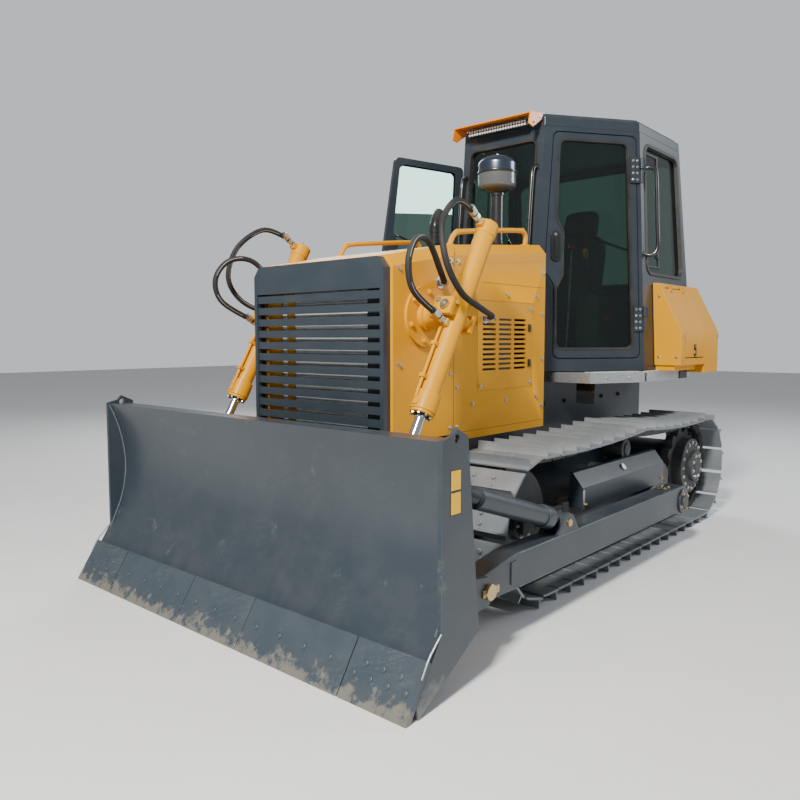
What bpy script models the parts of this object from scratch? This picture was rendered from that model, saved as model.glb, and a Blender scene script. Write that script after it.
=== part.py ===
"""Crawler bulldozer with a straight blade, push arms, lift cylinders and an enclosed cab.

Metres, +Z up. The machine faces -Y, its left side is +X, and the ground is z = 0. Every
length along the machine is measured from the front idler's axle. The last step moves that
datum so that the middle of the machine's length lies on the origin.
"""
import math

import bmesh
import bpy
from mathutils import Matrix, Vector

# ---------------------------------------------------------------- driving dimensions
TOUCH = 0.0003            # gap left between pieces that touch
RUN = 0.007               # gap left around a door or a lid

BLADE_HALF = 1.300        # half the blade's width
BLADE_TOP = 1.040
BLADE_FRONT = -1.433      # tip of the cutting edge
EDGE_TOP = (-1.300, 0.210)
END_PLATE = 0.022

TRACK_CENTRE = 0.825      # middle of each track from the machine's middle
SHOE_WIDTH = 0.448
AXLE_SPACING = 2.470
AXLE_HEIGHT = 0.430
LINK_RADIUS = 0.310       # inner face of the chain round the idler and the sprocket
LINK_HEIGHT = 0.060
PLATE_THICK = 0.012
GROUSER_TIP = 0.120       # grouser's tip above the chain's inner face
SHOE_COUNT = 43
CARRIER_Y = 1.310
CARRIER_LIFT = 0.028      # rise of the top run over the carrier roller

ARM_INNER, ARM_OUTER = 1.080, 1.200
ARM_PIVOT = (1.570, 0.333)
ARM_NOSE = (-0.800, 0.335)
BRACE_FOOT = (-0.020, 0.487)
BRACE_HEAD = (-0.985, 0.800)
BRACE_X = 1.140

LIFT_X = 0.740            # lift cylinders from the machine's middle
LIFT_TRUNNION = (-0.390, 1.550)
ROD_EYE = (-0.980, 0.520)
LIFT_ANGLE = math.atan2(LIFT_TRUNNION[0] - ROD_EYE[0], LIFT_TRUNNION[1] - ROD_EYE[1])
LIFT_LENGTH = math.dist(LIFT_TRUNNION, ROD_EYE)
BARREL_REACH = 0.559      # trunnion to either end of the barrel
ROD_LENGTH = 1.100

HOOD_HALF = 0.530
HOOD_FLAT = 0.480         # where the top's chamfer starts
HOOD_THICK = 0.014
GRILLE_FRONT, GRILLE_BACK = -0.690, -0.638
GUARD_BACK = -0.130
HOOD_BACK = 0.853
HOOD_LOW = 0.860
GRILLE_TOP = 1.845
GUARD_SLOPE, HOOD_SLOPE = 0.190, 0.092
SLAT_COUNT = 11
SLAT_PITCH = 0.0655

DECK_LOW, DECK_TOP = 1.130, 1.200
CAB_LOW, CAB_HIGH, ROOF_HIGH = 1.206, 2.890, 2.980
CAB_WALL = 0.050
# corners of the cab's plan (x, y) at its datum heights, from the front round to the rear
CAB_DATUM_LOW, CAB_DATUM_HIGH = 1.250, 2.950
CAB_PLAN_LOW = [(0.3195, 1.000), (0.8400, 1.7254), (0.8400, 2.660)]
CAB_PLAN_HIGH = [(0.3375, 1.150), (0.7545, 1.7313), (0.7545, 2.474)]
DOOR_OPEN_RIGHT = math.radians(60.0)
HINGE_OUT = 0.018         # door hinges' axis outside the door's face
HINGE_HEIGHTS = (0.325, 1.370)

BOX_FRONT, BOX_BACK, BOX_STEP = 1.900, 2.690, 2.390
BOX_TOP, BOX_KNEE, BOX_LOW, BOX_TAIL_LOW = 1.840, 1.485, 1.240, 1.175
BOX_SHOULDER, BOX_OUTER = 0.858, 1.036
HATCH_AXIS = (0.882, 1.820)

HOSE_RADIUS = 0.016
BOSS_RADIUS = 0.0205      # fittings that the hoses end at
# left-hand hose routes, from the cylinder to the bonnet
HOSE_TOP = [(0.740, -0.209, 2.057), (0.744, -0.275, 2.094), (0.765, -0.430, 2.115),
            (0.807, -0.592, 1.990), (0.854, -0.624, 1.800), (0.853, -0.498, 1.655),
            (0.802, -0.262, 1.590), (0.696, -0.006, 1.560), (0.590, 0.130, 1.555),
            (0.547, 0.170, 1.555)]
HOSE_LOW = [(0.740, -0.507, 1.528), (0.742, -0.552, 1.554), (0.757, -0.747, 1.658),
            (0.759, -0.786, 1.788), (0.735, -0.705, 1.899), (0.696, -0.558, 1.906),
            (0.652, -0.398, 1.759), (0.600, -0.312, 1.731), (0.546, -0.260, 1.735)]

LEFT, RIGHT = 1, -1
SIDE_NAMES = {LEFT: "left", RIGHT: "right"}

# ---------------------------------------------------------------- scene and collections
for old in list(bpy.data.objects):
    bpy.data.objects.remove(old, do_unlink=True)

parts = bpy.data.collections.new("bulldozer")
cutters = bpy.data.collections.new("bulldozer_cutters")
bpy.context.scene.collection.children.link(parts)
bpy.context.scene.collection.children.link(cutters)


def finish(name, colour, roughness, metallic=0.0, alpha=1.0):
    """A Principled material with one colour."""
    made = bpy.data.materials.new(name)
    made.use_nodes = True
    made.diffuse_color = (*colour, alpha)
    shader = made.node_tree.nodes["Principled BSDF"]
    shader.inputs["Base Color"].default_value = (*colour, 1.0)
    shader.inputs["Roughness"].default_value = roughness
    shader.inputs["Metallic"].default_value = metallic
    shader.inputs["Alpha"].default_value = alpha
    return made


YELLOW = finish("yellow_paint", (0.90, 0.42, 0.03), 0.35)
SLATE = finish("slate_paint", (0.075, 0.095, 0.115), 0.40)
BLACK_PAINT = finish("black_paint", (0.02, 0.022, 0.025), 0.45)
SHOE_STEEL = finish("track_steel", (0.16, 0.18, 0.19), 0.50, 0.6)
CAST = finish("cast_iron", (0.05, 0.055, 0.06), 0.60, 0.3)
CHROME = finish("chrome", (0.75, 0.76, 0.78), 0.12, 1.0)
ALUMINIUM = finish("aluminium", (0.55, 0.57, 0.58), 0.40, 1.0)
ORANGE = finish("orange_paint", (0.90, 0.32, 0.03), 0.40)
GLASS = finish("tinted_glass", (0.35, 0.48, 0.44), 0.05, 0.0, 0.35)
RUBBER = finish("hose_rubber", (0.02, 0.02, 0.02), 0.70)
VINYL = finish("seat_vinyl", (0.03, 0.03, 0.03), 0.60)
PLASTIC = finish("black_plastic", (0.03, 0.03, 0.035), 0.55)


# ---------------------------------------------------------------- shapes
def as_object(name, mesh_maker):
    """A closed mesh object filled in by mesh_maker(bm), with its normals outward."""
    mesh = bpy.data.meshes.new(name)
    bm = bmesh.new()
    mesh_maker(bm)
    bmesh.ops.remove_doubles(bm, verts=bm.verts, dist=1e-6)
    bmesh.ops.recalc_face_normals(bm, faces=bm.faces)
    bm.to_mesh(mesh)
    bm.free()
    made = bpy.data.objects.new(name, mesh)
    parts.objects.link(made)
    return made


def block(name, low, high, place=Matrix()):
    """A box between two corners, in the axes given by place."""
    middle = (Vector(low) + Vector(high)) / 2
    size = [abs(b - a) for a, b in zip(low, high)]

    def fill(bm):
        shape = place @ Matrix.Translation(middle) @ Matrix.Diagonal((*size, 1.0))
        bmesh.ops.create_cube(bm, size=1.0, matrix=shape)
    return as_object(name, fill)


def bar(name, start, end, radius, sides=16):
    """A round bar between two points."""
    start, end = Vector(start), Vector(end)
    run = end - start
    turn = run.to_track_quat("Z", "Y").to_matrix().to_4x4()

    def fill(bm):
        bmesh.ops.create_cone(
            bm, cap_ends=True, segments=sides, radius1=radius, radius2=radius,
            depth=run.length, matrix=Matrix.Translation((start + end) / 2) @ turn)
    return as_object(name, fill)


def curve_to_mesh(name, curve, place):
    """The curve's filled solid as a closed mesh object; the curve is removed."""
    holder = bpy.data.objects.new(name + "_curve", curve)
    parts.objects.link(holder)
    holder.matrix_world = place
    graph = bpy.context.evaluated_depsgraph_get()
    mesh = bpy.data.meshes.new_from_object(holder.evaluated_get(graph))
    bpy.data.objects.remove(holder)
    mesh.transform(place)
    made = as_object(name, lambda bm: bm.from_mesh(mesh))
    bpy.data.meshes.remove(mesh)
    return made


PLATE_AXES = {
    "X": Matrix(((0, 0, 1, 0), (1, 0, 0, 0), (0, 1, 0, 0), (0, 0, 0, 1))),
    "Y": Matrix(((1, 0, 0, 0), (0, 0, -1, 0), (0, 1, 0, 0), (0, 0, 0, 1))),
    "Z": Matrix(),
}


def plate(name, outlines, axis, low, high):
    """Flat outlines, the first with any others as its holes, made thick along an axis.

    An outline is (y, z) for axis X, (x, z) for axis Y and (x, y) for axis Z. axis may also
    be a matrix whose Z is the thickness.
    """
    if not isinstance(outlines[0][0], (tuple, list)):
        outlines = [outlines]
    curve = bpy.data.curves.new(name, "CURVE")
    curve.dimensions = "2D"
    curve.fill_mode = "BOTH"
    low, high = min(low, high), max(low, high)
    curve.extrude = (high - low) / 2
    for outline in outlines:
        spline = curve.splines.new("POLY")
        spline.points.add(len(outline) - 1)
        for point, (a, b) in zip(spline.points, outline):
            point.co = (a, b, 0.0, 1.0)
        spline.use_cyclic_u = True
    turn = PLATE_AXES[axis] if isinstance(axis, str) else axis
    offset = (low + high) / 2
    if axis == "Y":
        offset = -offset
    return curve_to_mesh(name, curve, turn @ Matrix.Translation((0, 0, offset)))


def tube(name, points, radius, resolution=3):
    """A round tube with closed ends along a list of points."""
    curve = bpy.data.curves.new(name, "CURVE")
    curve.dimensions = "3D"
    curve.bevel_depth = radius
    curve.bevel_resolution = resolution
    curve.use_fill_caps = True
    spline = curve.splines.new("POLY")
    spline.points.add(len(points) - 1)
    for point, place in zip(spline.points, points):
        point.co = (*place, 1.0)
    return curve_to_mesh(name, curve, Matrix())


def turned(name, profile, centre, steps=24):
    """A solid of revolution about a vertical line; profile is (radius, height) pairs."""
    mesh = bpy.data.meshes.new(name + "_profile")
    verts = [(radius, 0.0, height) for radius, height in profile]
    mesh.from_pydata(verts, [(i, i + 1) for i in range(len(verts) - 1)], [])
    holder = bpy.data.objects.new(name + "_profile", mesh)
    parts.objects.link(holder)
    holder.location = centre
    screw = holder.modifiers.new("turn", "SCREW")
    screw.steps = steps
    screw.render_steps = steps
    screw.use_merge_vertices = True
    screw.merge_threshold = 0.00005
    graph = bpy.context.evaluated_depsgraph_get()
    solid = bpy.data.meshes.new_from_object(holder.evaluated_get(graph))
    solid.transform(Matrix.Translation(centre))
    bpy.data.objects.remove(holder)
    return as_object(name, lambda bm: bm.from_mesh(solid))


def loft(name, low_ring, high_ring, low_z, high_z):
    """A solid between two rings of (x, y) points at two heights."""
    def fill(bm):
        lower = [bm.verts.new((x, y, low_z)) for x, y in low_ring]
        upper = [bm.verts.new((x, y, high_z)) for x, y in high_ring]
        bm.faces.new(lower)
        bm.faces.new(upper)
        count = len(lower)
        for i in range(count):
            j = (i + 1) % count
            bm.faces.new((lower[i], lower[j], upper[j], upper[i]))
    return as_object(name, fill)


def band(name, outer, inner, low, high):
    """A closed band between two (y, z) loops with as many points, made thick along x."""
    def fill(bm):
        loops = [[bm.verts.new((x, *point)) for point in loop]
                 for x, loop in ((low, outer), (high, outer), (high, inner), (low, inner))]
        count = len(outer)
        for one, other in zip(loops, loops[1:] + loops[:1]):
            for i in range(count):
                j = (i + 1) % count
                bm.faces.new((one[i], one[j], other[j], other[i]))
    return as_object(name, fill)


def combine(body, pieces, operation):
    """Union or difference with EXACT booleans, kept as the body's new mesh."""
    for piece in pieces:
        modifier = body.modifiers.new(operation.lower(), "BOOLEAN")
        modifier.operation = operation
        modifier.solver = "EXACT"
        modifier.object = piece
    graph = bpy.context.evaluated_depsgraph_get()
    mesh = bpy.data.meshes.new_from_object(body.evaluated_get(graph))
    body.modifiers.clear()
    body.data = mesh
    for piece in pieces:
        bpy.data.objects.remove(piece)
    return body


def fuse(body, *pieces):
    """Join pieces to a body so that they are one closed solid."""
    return combine(body, pieces, "UNION")


def carve(body, *pieces):
    """Take pieces out of a body for good, before other pieces are joined to it."""
    return combine(body, pieces, "DIFFERENCE")


def cut(body, cutter):
    """Take a cutter out of a body with a live modifier; the cutter stays, as a wire."""
    parts.objects.unlink(cutter)
    cutters.objects.link(cutter)
    cutter.hide_render = True
    cutter.display_type = "WIRE"
    modifier = body.modifiers.new(cutter.name, "BOOLEAN")
    modifier.operation = "DIFFERENCE"
    modifier.solver = "EXACT"
    modifier.object = cutter


def node(made, name, material):
    """Give a finished piece its name and its material."""
    made.name = name
    made.data.name = name
    made.data.materials.clear()
    made.data.materials.append(material)
    return made


def sided(x_low, x_high, side):
    """A span in x for the left side, mirrored for the right side."""
    return (x_low, x_high) if side == LEFT else (-x_high, -x_low)


def pivot(name, place, children, turn=Matrix()):
    """An empty on a joint's axis that carries the joint's moving pieces."""
    empty = bpy.data.objects.new(name, None)
    parts.objects.link(empty)
    empty.matrix_world = Matrix.Translation(place) @ turn
    bpy.context.view_layer.update()
    for child in children:
        child.parent = empty
        child.matrix_parent_inverse = empty.matrix_world.inverted()
    return empty


def arc(centre, radius, start, end, steps):
    """Points of an arc in the plane; angles in degrees."""
    points = []
    for i in range(steps + 1):
        angle = math.radians(start + (end - start) * i / steps)
        points.append((centre[0] + radius * math.cos(angle), centre[1] + radius * math.sin(angle)))
    return points


def smooth_route(points, per_span):
    """A Catmull-Rom curve through hand-placed points."""
    knots = [Vector(p) for p in points]
    knots = [2 * knots[0] - knots[1]] + knots + [2 * knots[-1] - knots[-2]]
    route = []
    for a, b, c, d in zip(knots, knots[1:], knots[2:], knots[3:]):
        for i in range(per_span):
            t = i / per_span
            route.append(0.5 * (2 * b + (c - a) * t + (2 * a - 5 * b + 4 * c - d) * t * t
                                + (3 * b - a - 3 * c + d) * t * t * t))
    route.append(knots[-2])
    return route


def hose_points(side, route):
    return smooth_route([(side * x, y, z) for x, y, z in route], 3)


def hose_boss(side, route, last=False):
    """A round fitting that a hose's end meets, run back from the end for 32 mm."""
    points = hose_points(side, route)
    end, after = (points[-1], points[-2]) if last else points[:2]
    way = (after - end).normalized()
    return bar("hose_boss", end - way * TOUCH, end - way * 0.032, BOSS_RADIUS, 12)


def strip(points, inner, outer):
    """A band beside an open line of (a, b) points, between two offsets to its left."""
    def shifted(distance):
        moved = []
        for i, here in enumerate(points):
            normals = []
            for j in (i - 1, i):
                if 0 <= j < len(points) - 1:
                    run = Vector(points[j + 1]) - Vector(points[j])
                    normals.append(Vector((-run.y, run.x)).normalized())
            mean = sum(normals, Vector((0, 0))).normalized()
            moved.append(tuple(Vector(here) + mean * distance / mean.dot(normals[0])))
        return moved
    return shifted(inner) + shifted(outer)[::-1]


# ---------------------------------------------------------------- main frame and drive
def build_main_frame():
    hull = plate("hull", [(-0.45, 0.50), (-0.20, 0.36), (2.60, 0.36), (2.78, 0.55),
                          (2.78, DECK_LOW - TOUCH), (1.06, DECK_LOW - TOUCH), (1.06, 0.90),
                          (-0.45, 0.90)], "X", -0.36, 0.36)
    pieces = [
        block("equaliser", (-0.69, 0.55, 0.38), (0.69, 0.73, 0.48)),
        bar("pivot_shaft", (-0.69, 1.90, 0.40), (0.69, 1.90, 0.40), 0.070),
        bar("axle_case", (-0.775, AXLE_SPACING, AXLE_HEIGHT),
            (0.775, AXLE_SPACING, AXLE_HEIGHT), 0.190, 24),
        block("rear_hitch", (-0.20, 2.70, 0.42), (0.20, 2.93, 0.62)),
    ]
    frame = fuse(hull, *pieces)
    jaw = block("hitch_jaw", (-0.25, 2.80, 0.485), (0.25, 3.00, 0.555))
    node(frame, "main_frame", SLATE)
    cut(frame, jaw)


def build_engine():
    engine = block("engine", (-0.30, -0.05, 0.90 + TOUCH), (0.30, 0.84, 1.70))
    node(engine, "engine_block", CAST)
    core = block("core", (-0.44, -0.62, 0.92), (0.44, -0.52, 1.70))
    foot = block("core_foot", (-0.30, -0.62, 0.80), (0.30, -0.4503, 0.95))
    node(fuse(core, foot), "radiator_core", ALUMINIUM)


# ---------------------------------------------------------------- bonnet and grille
def top_at(y):
    """Height of the bonnet's flat top at a distance along the machine."""
    guard_top = GRILLE_TOP + GUARD_SLOPE * (min(y, GUARD_BACK) - GRILLE_FRONT)
    return guard_top + HOOD_SLOPE * max(0.0, y - GUARD_BACK)


def sloped_panel(name, outline, y_low, y_high):
    """An outline in x and height below the top, run along y under the sloping top."""
    made = plate(name, outline, "Y", y_low, y_high)
    for vertex in made.data.vertices:
        vertex.co.z += top_at(vertex.co.y)
    return made


def roof_outline(inset, low):
    """The bonnet's cross-section, measured down from its top."""
    half, flat = HOOD_HALF - inset, HOOD_FLAT - inset * 0.6
    return [(-half, low), (half, low), (half, -0.060 - inset * 0.6), (flat, -inset),
            (-flat, -inset), (-half, -0.060 - inset * 0.6)]


def build_grille():
    def half_outline(half, flat, top, drop, low):
        return [(-half, low), (half, low), (half, top - drop), (flat, top), (-flat, top),
                (-half, top - drop)]
    outer = half_outline(0.513, 0.468, GRILLE_TOP, 0.055, 0.900)
    window = half_outline(0.488, 0.488, 1.686, 0.0, 0.960)
    frame = plate("grille", [outer, window], "Y", GRILLE_FRONT, GRILLE_BACK - TOUCH)
    slats = []
    for i in range(SLAT_COUNT):
        top = 1.686 - 0.010 - i * SLAT_PITCH
        slats.append(block(f"slat_{i}", (-0.493, GRILLE_FRONT + 0.006, top - 0.041),
                           (0.493, GRILLE_FRONT + 0.018, top)))
    node(fuse(frame, *slats), "radiator_grille", SLATE)


def build_guard():
    outer = roof_outline(0.0, -1.10)
    inner = roof_outline(0.020, -1.15)
    shell = sloped_panel("guard", outer, GRILLE_BACK, GUARD_BACK - TOUCH)
    hollow = sloped_panel("guard_hollow", inner, GRILLE_BACK - 0.1, GUARD_BACK + 0.1)
    carve(shell, hollow)
    trim = block("guard_trim", (-0.7, -0.8, 0.0), (0.7, 0.0, 0.900))
    carve(shell, trim)
    bosses = []
    for side in (LEFT, RIGHT):
        y, z = LIFT_TRUNNION
        bosses.append(bar("flange", (side * 0.515, y, z), (side * 0.545, y, z), 0.160, 24))
        bosses.append(bar("boss", (side * 0.515, y, z), (side * 0.575, y, z), 0.078, 16))
        bosses.append(hose_boss(side, HOSE_LOW, last=True))
    node(fuse(shell, *bosses), "radiator_guard", YELLOW)


def build_hood():
    depth = 0.110
    top = sloped_panel("hood", roof_outline(0.0, -depth), GUARD_BACK, HOOD_BACK)
    hollow = sloped_panel("hood_hollow", roof_outline(HOOD_THICK, -depth - 0.05),
                          GUARD_BACK - 0.1, HOOD_BACK - HOOD_THICK)
    carve(top, hollow)
    rails = []
    for side in (LEFT, RIGHT):
        x = side * 0.440
        foot_a, foot_b = -0.06, 0.74
        points = [(x, foot_a, top_at(foot_a) - 0.008), (x, foot_a + 0.03, top_at(foot_a) + 0.05),
                  (x, foot_a + 0.07, top_at(foot_a) + 0.085),
                  (x, foot_b - 0.03, top_at(foot_b) + 0.095),
                  (x, foot_b + 0.01, top_at(foot_b) + 0.06), (x, foot_b, top_at(foot_b) - 0.008)]
        rails.append(tube("rail", points, 0.014, 2))
    node(fuse(top, *rails), "engine_hood", YELLOW)
    for side in (LEFT, RIGHT):
        x_span = sided(HOOD_HALF - HOOD_THICK, HOOD_HALF, side)
        y_low, y_high = GUARD_BACK, HOOD_BACK
        under = -depth - TOUCH
        outline = [(y_low, top_at(y_low) + under), (y_low, HOOD_LOW), (y_high, HOOD_LOW),
                   (y_high, top_at(y_high) + under)]
        panel = fuse(plate("side", outline, "X", *x_span), hose_boss(side, HOSE_TOP, last=True))
        node(panel, f"hood_side_{SIDE_NAMES[side]}", YELLOW)


def build_stacks():
    x, y = 0.250, 0.700
    base = top_at(y + 0.06) + TOUCH
    profile = [(0.0, base), (0.055, base), (0.055, base + 0.012), (0.039, base + 0.020),
               (0.039, 2.385), (0.060, 2.400), (0.118, 2.415), (0.128, 2.430), (0.128, 2.560),
               (0.118, 2.575), (0.122, 2.582), (0.095, 2.606), (0.030, 2.622), (0.0, 2.624)]
    node(turned("precleaner", profile, (x, y, 0)), "air_precleaner", BLACK_PAINT)
    x, y = -0.220, 0.640
    base = top_at(y + 0.06) + TOUCH
    riser = bar("riser", (x, y, base), (x, y, 2.250), 0.038)
    spout = bar("spout", (x, y, 2.225), (x - 0.020, y + 0.075, 2.310), 0.040)
    foot = bar("stack_foot", (x, y, base), (x, y, base + 0.015), 0.060)
    node(fuse(riser, spout, foot), "exhaust_stack", BLACK_PAINT)


# ---------------------------------------------------------------- deck and cab
def build_deck():
    inner = 0.800
    outline = [(-0.704, 1.165), (0.704, 1.165), (0.903, 1.585), (0.903, BOX_STEP - 0.01),
               (inner, BOX_STEP - 0.01), (inner, 2.740), (-inner, 2.740),
               (-inner, BOX_STEP - 0.01), (-0.903, BOX_STEP - 0.01), (-0.903, 1.585)]
    deck = plate("deck", outline, "Z", DECK_LOW, DECK_TOP)
    node(deck, "platform", ALUMINIUM)


def cab_ring(z, inset):
    """The cab's outline at a height, moved in by a wall's thickness."""
    t = (z - CAB_DATUM_LOW) / (CAB_DATUM_HIGH - CAB_DATUM_LOW)
    right_to_left = [Vector(a).lerp(Vector(b), t) for a, b in zip(CAB_PLAN_LOW, CAB_PLAN_HIGH)]
    ring = right_to_left + [Vector((-p.x, p.y)) for p in reversed(right_to_left)]
    moved = []
    for i, here in enumerate(ring):
        before = (here - ring[i - 1]).normalized()
        after = (ring[(i + 1) % len(ring)] - here).normalized()
        normal = Vector((-before.y, before.x)) + Vector((-after.y, after.x))
        normal.normalize()
        scale = inset / normal.dot(Vector((-before.y, before.x)))
        moved.append(tuple(here + normal * scale))
    return moved


def cab_body(name, low, high, inset):
    return loft(name, cab_ring(low, inset), cab_ring(high, inset), low, high)


def face_frame(first_low, second_low, first_high):
    """Axes of a flat cab face: X along it from first to second, Y up it, Z outward."""
    origin = Vector(first_low)
    along = (Vector(second_low) - origin).normalized()
    up = Vector(first_high) - origin
    outward = along.cross(up).normalized()
    if outward.dot(origin - Vector((0.0, 1.9, origin.z))) < 0:
        outward.negate()
    up = outward.cross(along)
    if up.z < 0:
        up.negate()
    turn = Matrix((along, up, outward)).transposed().to_4x4()
    return Matrix.Translation(origin) @ turn


def corner(index, side, high=False):
    x, y = (CAB_PLAN_HIGH if high else CAB_PLAN_LOW)[index]
    return (side * x, y, CAB_DATUM_HIGH if high else CAB_DATUM_LOW)


def rounded(corners, radius, steps=4):
    """A polygon with its corners rounded."""
    points = []
    count = len(corners)
    for i, here in enumerate(corners):
        here = Vector(here)
        back = (Vector(corners[i - 1]) - here).normalized()
        ahead = (Vector(corners[(i + 1) % count]) - here).normalized()
        half = back.angle(ahead) / 2
        reach = radius / math.tan(half)
        start, end = here + back * reach, here + ahead * reach
        centre = here + (back + ahead).normalized() * radius / math.sin(half)
        for k in range(steps + 1):
            spoke = (start - centre).slerp(end - centre, k / steps).normalized()
            points.append(tuple(centre + spoke * radius))
    return points


def shrink(corners, distance):
    """A convex polygon moved in by a distance; corners run either way round."""
    middle = sum((Vector(c) for c in corners), Vector((0, 0))) / len(corners)
    moved = []
    for i, here in enumerate(corners):
        here = Vector(here)
        before = (here - Vector(corners[i - 1])).normalized()
        after = (Vector(corners[(i + 1) % len(corners)]) - here).normalized()
        n1, n2 = Vector((-before.y, before.x)), Vector((-after.y, after.x))
        if n1.dot(middle - here) < 0:
            n1, n2 = -n1, -n2
        mean = (n1 + n2).normalized()
        moved.append(tuple(here + mean * distance / mean.dot(n1)))
    return moved


def door_edges():
    """The door's outline in its face: along from the rear pillar, and up."""
    return [(0.040, 0.050), (0.705, 0.050), (0.698, 0.560), (0.7665, 0.652), (0.694, 1.605),
            (0.075, 1.605)]


def door_face(side):
    return face_frame(corner(1, side), corner(0, side), corner(1, side, True))


def quarter_face(side):
    return face_frame(corner(1, side), corner(2, side), corner(1, side, True))


def window_in(shell, glass_name, face, outline, radius, thickness=0.006, depth=0.020):
    """Cut a window through a wall and fill it with a pane."""
    hole = plate(glass_name + "_hole", rounded(outline, radius), face, -0.12, 0.06)
    cut(shell, hole)
    pane = plate("pane", rounded(shrink(outline, TOUCH), radius), face, -depth - thickness, -depth)
    return node(pane, glass_name, GLASS)


def build_cab():
    shell = cab_body("shell", CAB_LOW, CAB_HIGH, 0.0)
    carve(shell, cab_body("space", CAB_LOW + CAB_WALL, CAB_HIGH - CAB_WALL, CAB_WALL))
    knuckles = []
    for side in (LEFT, RIGHT):
        face = door_face(side)
        for up in HINGE_HEIGHTS:
            lean = hinge_line(up + 0.050)
            knuckles.append(block("stay", (lean - 0.030, up + 0.012, -0.030),
                                  (lean + 0.006, up + 0.085, HINGE_OUT), face))
            knuckles.append(bar("knuckle", hinge_point(face, up + 0.012),
                                hinge_point(face, up + 0.085), 0.011, 12))
    fuse(shell, *knuckles)
    node(shell, "cab_shell", SLATE)
    front = face_frame(corner(0, RIGHT), corner(0, LEFT), corner(0, RIGHT, True))
    width = 2 * CAB_PLAN_LOW[0][0]
    window_in(shell, "windshield", front,
              [(0.050, 0.060), (width - 0.050, 0.060), (width - 0.040, 1.560), (0.040, 1.560)], 0.05)
    rear = face_frame(corner(2, LEFT), corner(2, RIGHT), corner(2, LEFT, True))
    width = 2 * CAB_PLAN_LOW[2][0]
    window_in(shell, "rear_window", rear,
              [(0.130, 0.640), (width - 0.130, 0.640), (width - 0.150, 1.560), (0.150, 1.560)], 0.07)
    for side in (LEFT, RIGHT):
        tag = SIDE_NAMES[side]
        window_in(shell, f"quarter_window_{tag}", quarter_face(side),
                  [(0.085, 0.660), (0.760, 0.660), (0.690, 1.570), (0.085, 1.570)], 0.07)
        opening = shrink(door_edges(), -RUN)
        cut(shell, plate(f"doorway_{tag}", rounded(opening, 0.045), door_face(side), -0.12, 0.06))
    roof = cab_body("roof", CAB_HIGH + TOUCH, ROOF_HIGH - 0.025, 0.0)
    crown = loft("crown", cab_ring(ROOF_HIGH - 0.035, 0.0), cab_ring(ROOF_HIGH, 0.030),
                 ROOF_HIGH - 0.0352, ROOF_HIGH)
    node(fuse(roof, crown), "cab_roof", SLATE)


def hinge_line(up):
    """Where the hinge's axis lies along the door's face, at a distance up it."""
    face = door_face(LEFT)
    low = Vector((0.0, 0.0))
    top = face.inverted() @ Vector(corner(1, LEFT, True))
    return low.x + (top.x - low.x) * up / top.y


def hinge_point(face, up):
    return face @ Vector((hinge_line(up), up, HINGE_OUT))


def build_door(side):
    tag = SIDE_NAMES[side]
    face = door_face(side)
    edges = door_edges()
    panel = plate("door", rounded(edges, 0.040), face, -0.042, 0.0)
    leaves = []
    for up in HINGE_HEIGHTS:
        lean = hinge_line(up)
        leaves.append(block("leaf", (lean + 0.016, up - 0.088, 0.0065),
                            (lean + 0.084, up + 0.088, 0.0170), face))
        leaves.append(block("strap", (lean + 0.002, up - 0.086, 0.0075),
                            (lean + 0.030, up - 0.004, 0.0180), face))
        leaves.append(block("pad", (lean + 0.050, up - 0.080, -0.020),
                            (lean + 0.080, up + 0.080, 0.012), face))
        leaves.append(bar("knuckle", hinge_point(face, up - 0.088),
                          hinge_point(face, up + 0.004), 0.011, 14))
    handle = block("handle", (0.668, 0.730, -0.010), (0.716, 0.915, 0.014), face)
    panel = fuse(panel, handle, *leaves)
    node(panel, f"door_{tag}", SLATE)
    window = [(0.092, 0.115), (0.688, 0.115), (0.684, 0.527), (0.634, 0.623), (0.626, 0.931),
              (0.676, 1.012), (0.652, 1.555), (0.137, 1.555)]
    pane = window_in(panel, f"door_glass_{tag}", face, window, 0.045, depth=0.015)
    axis_low = hinge_point(face, 0.0)
    axis_high = hinge_point(face, 1.6)
    holder = pivot(f"door_{tag}_hinge", axis_low, [panel, pane])
    window_cutter = bpy.data.objects[f"door_glass_{tag}_hole"]
    window_cutter.parent = holder
    window_cutter.matrix_parent_inverse = holder.matrix_world.inverted()
    if side == RIGHT:
        spin = Matrix.Rotation(-DOOR_OPEN_RIGHT, 4, (axis_high - axis_low))
        holder.matrix_world = Matrix.Translation(axis_low) @ spin
    return axis_low, axis_high


def build_visors():
    y_face = 1.1495
    canopy = plate("visor", [(y_face - 0.002, 2.978), (0.985, 2.955), (0.985, 2.945),
                             (y_face - 0.002, 2.966)], "X", -0.322, 0.322)
    wings = []
    for side in (LEFT, RIGHT):
        wing = [(y_face - 0.002, 2.978), (0.985, 2.955), (0.965, 2.870), (1.020, 2.860),
                (1.128, 2.930)]
        wings.append(plate("wing", wing, "X", *sided(0.312, 0.322, side)))
    node(fuse(canopy, *wings), "front_visor", ORANGE)
    lamp = block("lamp", (-0.250, 1.060, 2.890), (0.250, 1.105, 2.935))
    stay = block("lamp_stay", (-0.030, 1.100, 2.905), (0.030, 1.1455, 2.925))
    node(fuse(lamp, stay), "light_bar", BLACK_PAINT)
    y_face = 2.4745
    canopy = plate("rear_canopy", [(y_face, 2.975), (2.590, 2.950), (2.590, 2.940), (y_face, 2.963)],
                   "X", -0.640, 0.640)
    wings = []
    for side in (LEFT, RIGHT):
        wing = [(y_face + 0.003, 2.975), (2.590, 2.950), (2.600, 2.860), (y_face + 0.013, 2.900)]
        wings.append(plate("rear_wing", wing, "X", *sided(0.630, 0.640, side)))
    node(fuse(canopy, *wings), "rear_visor", ORANGE)


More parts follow.
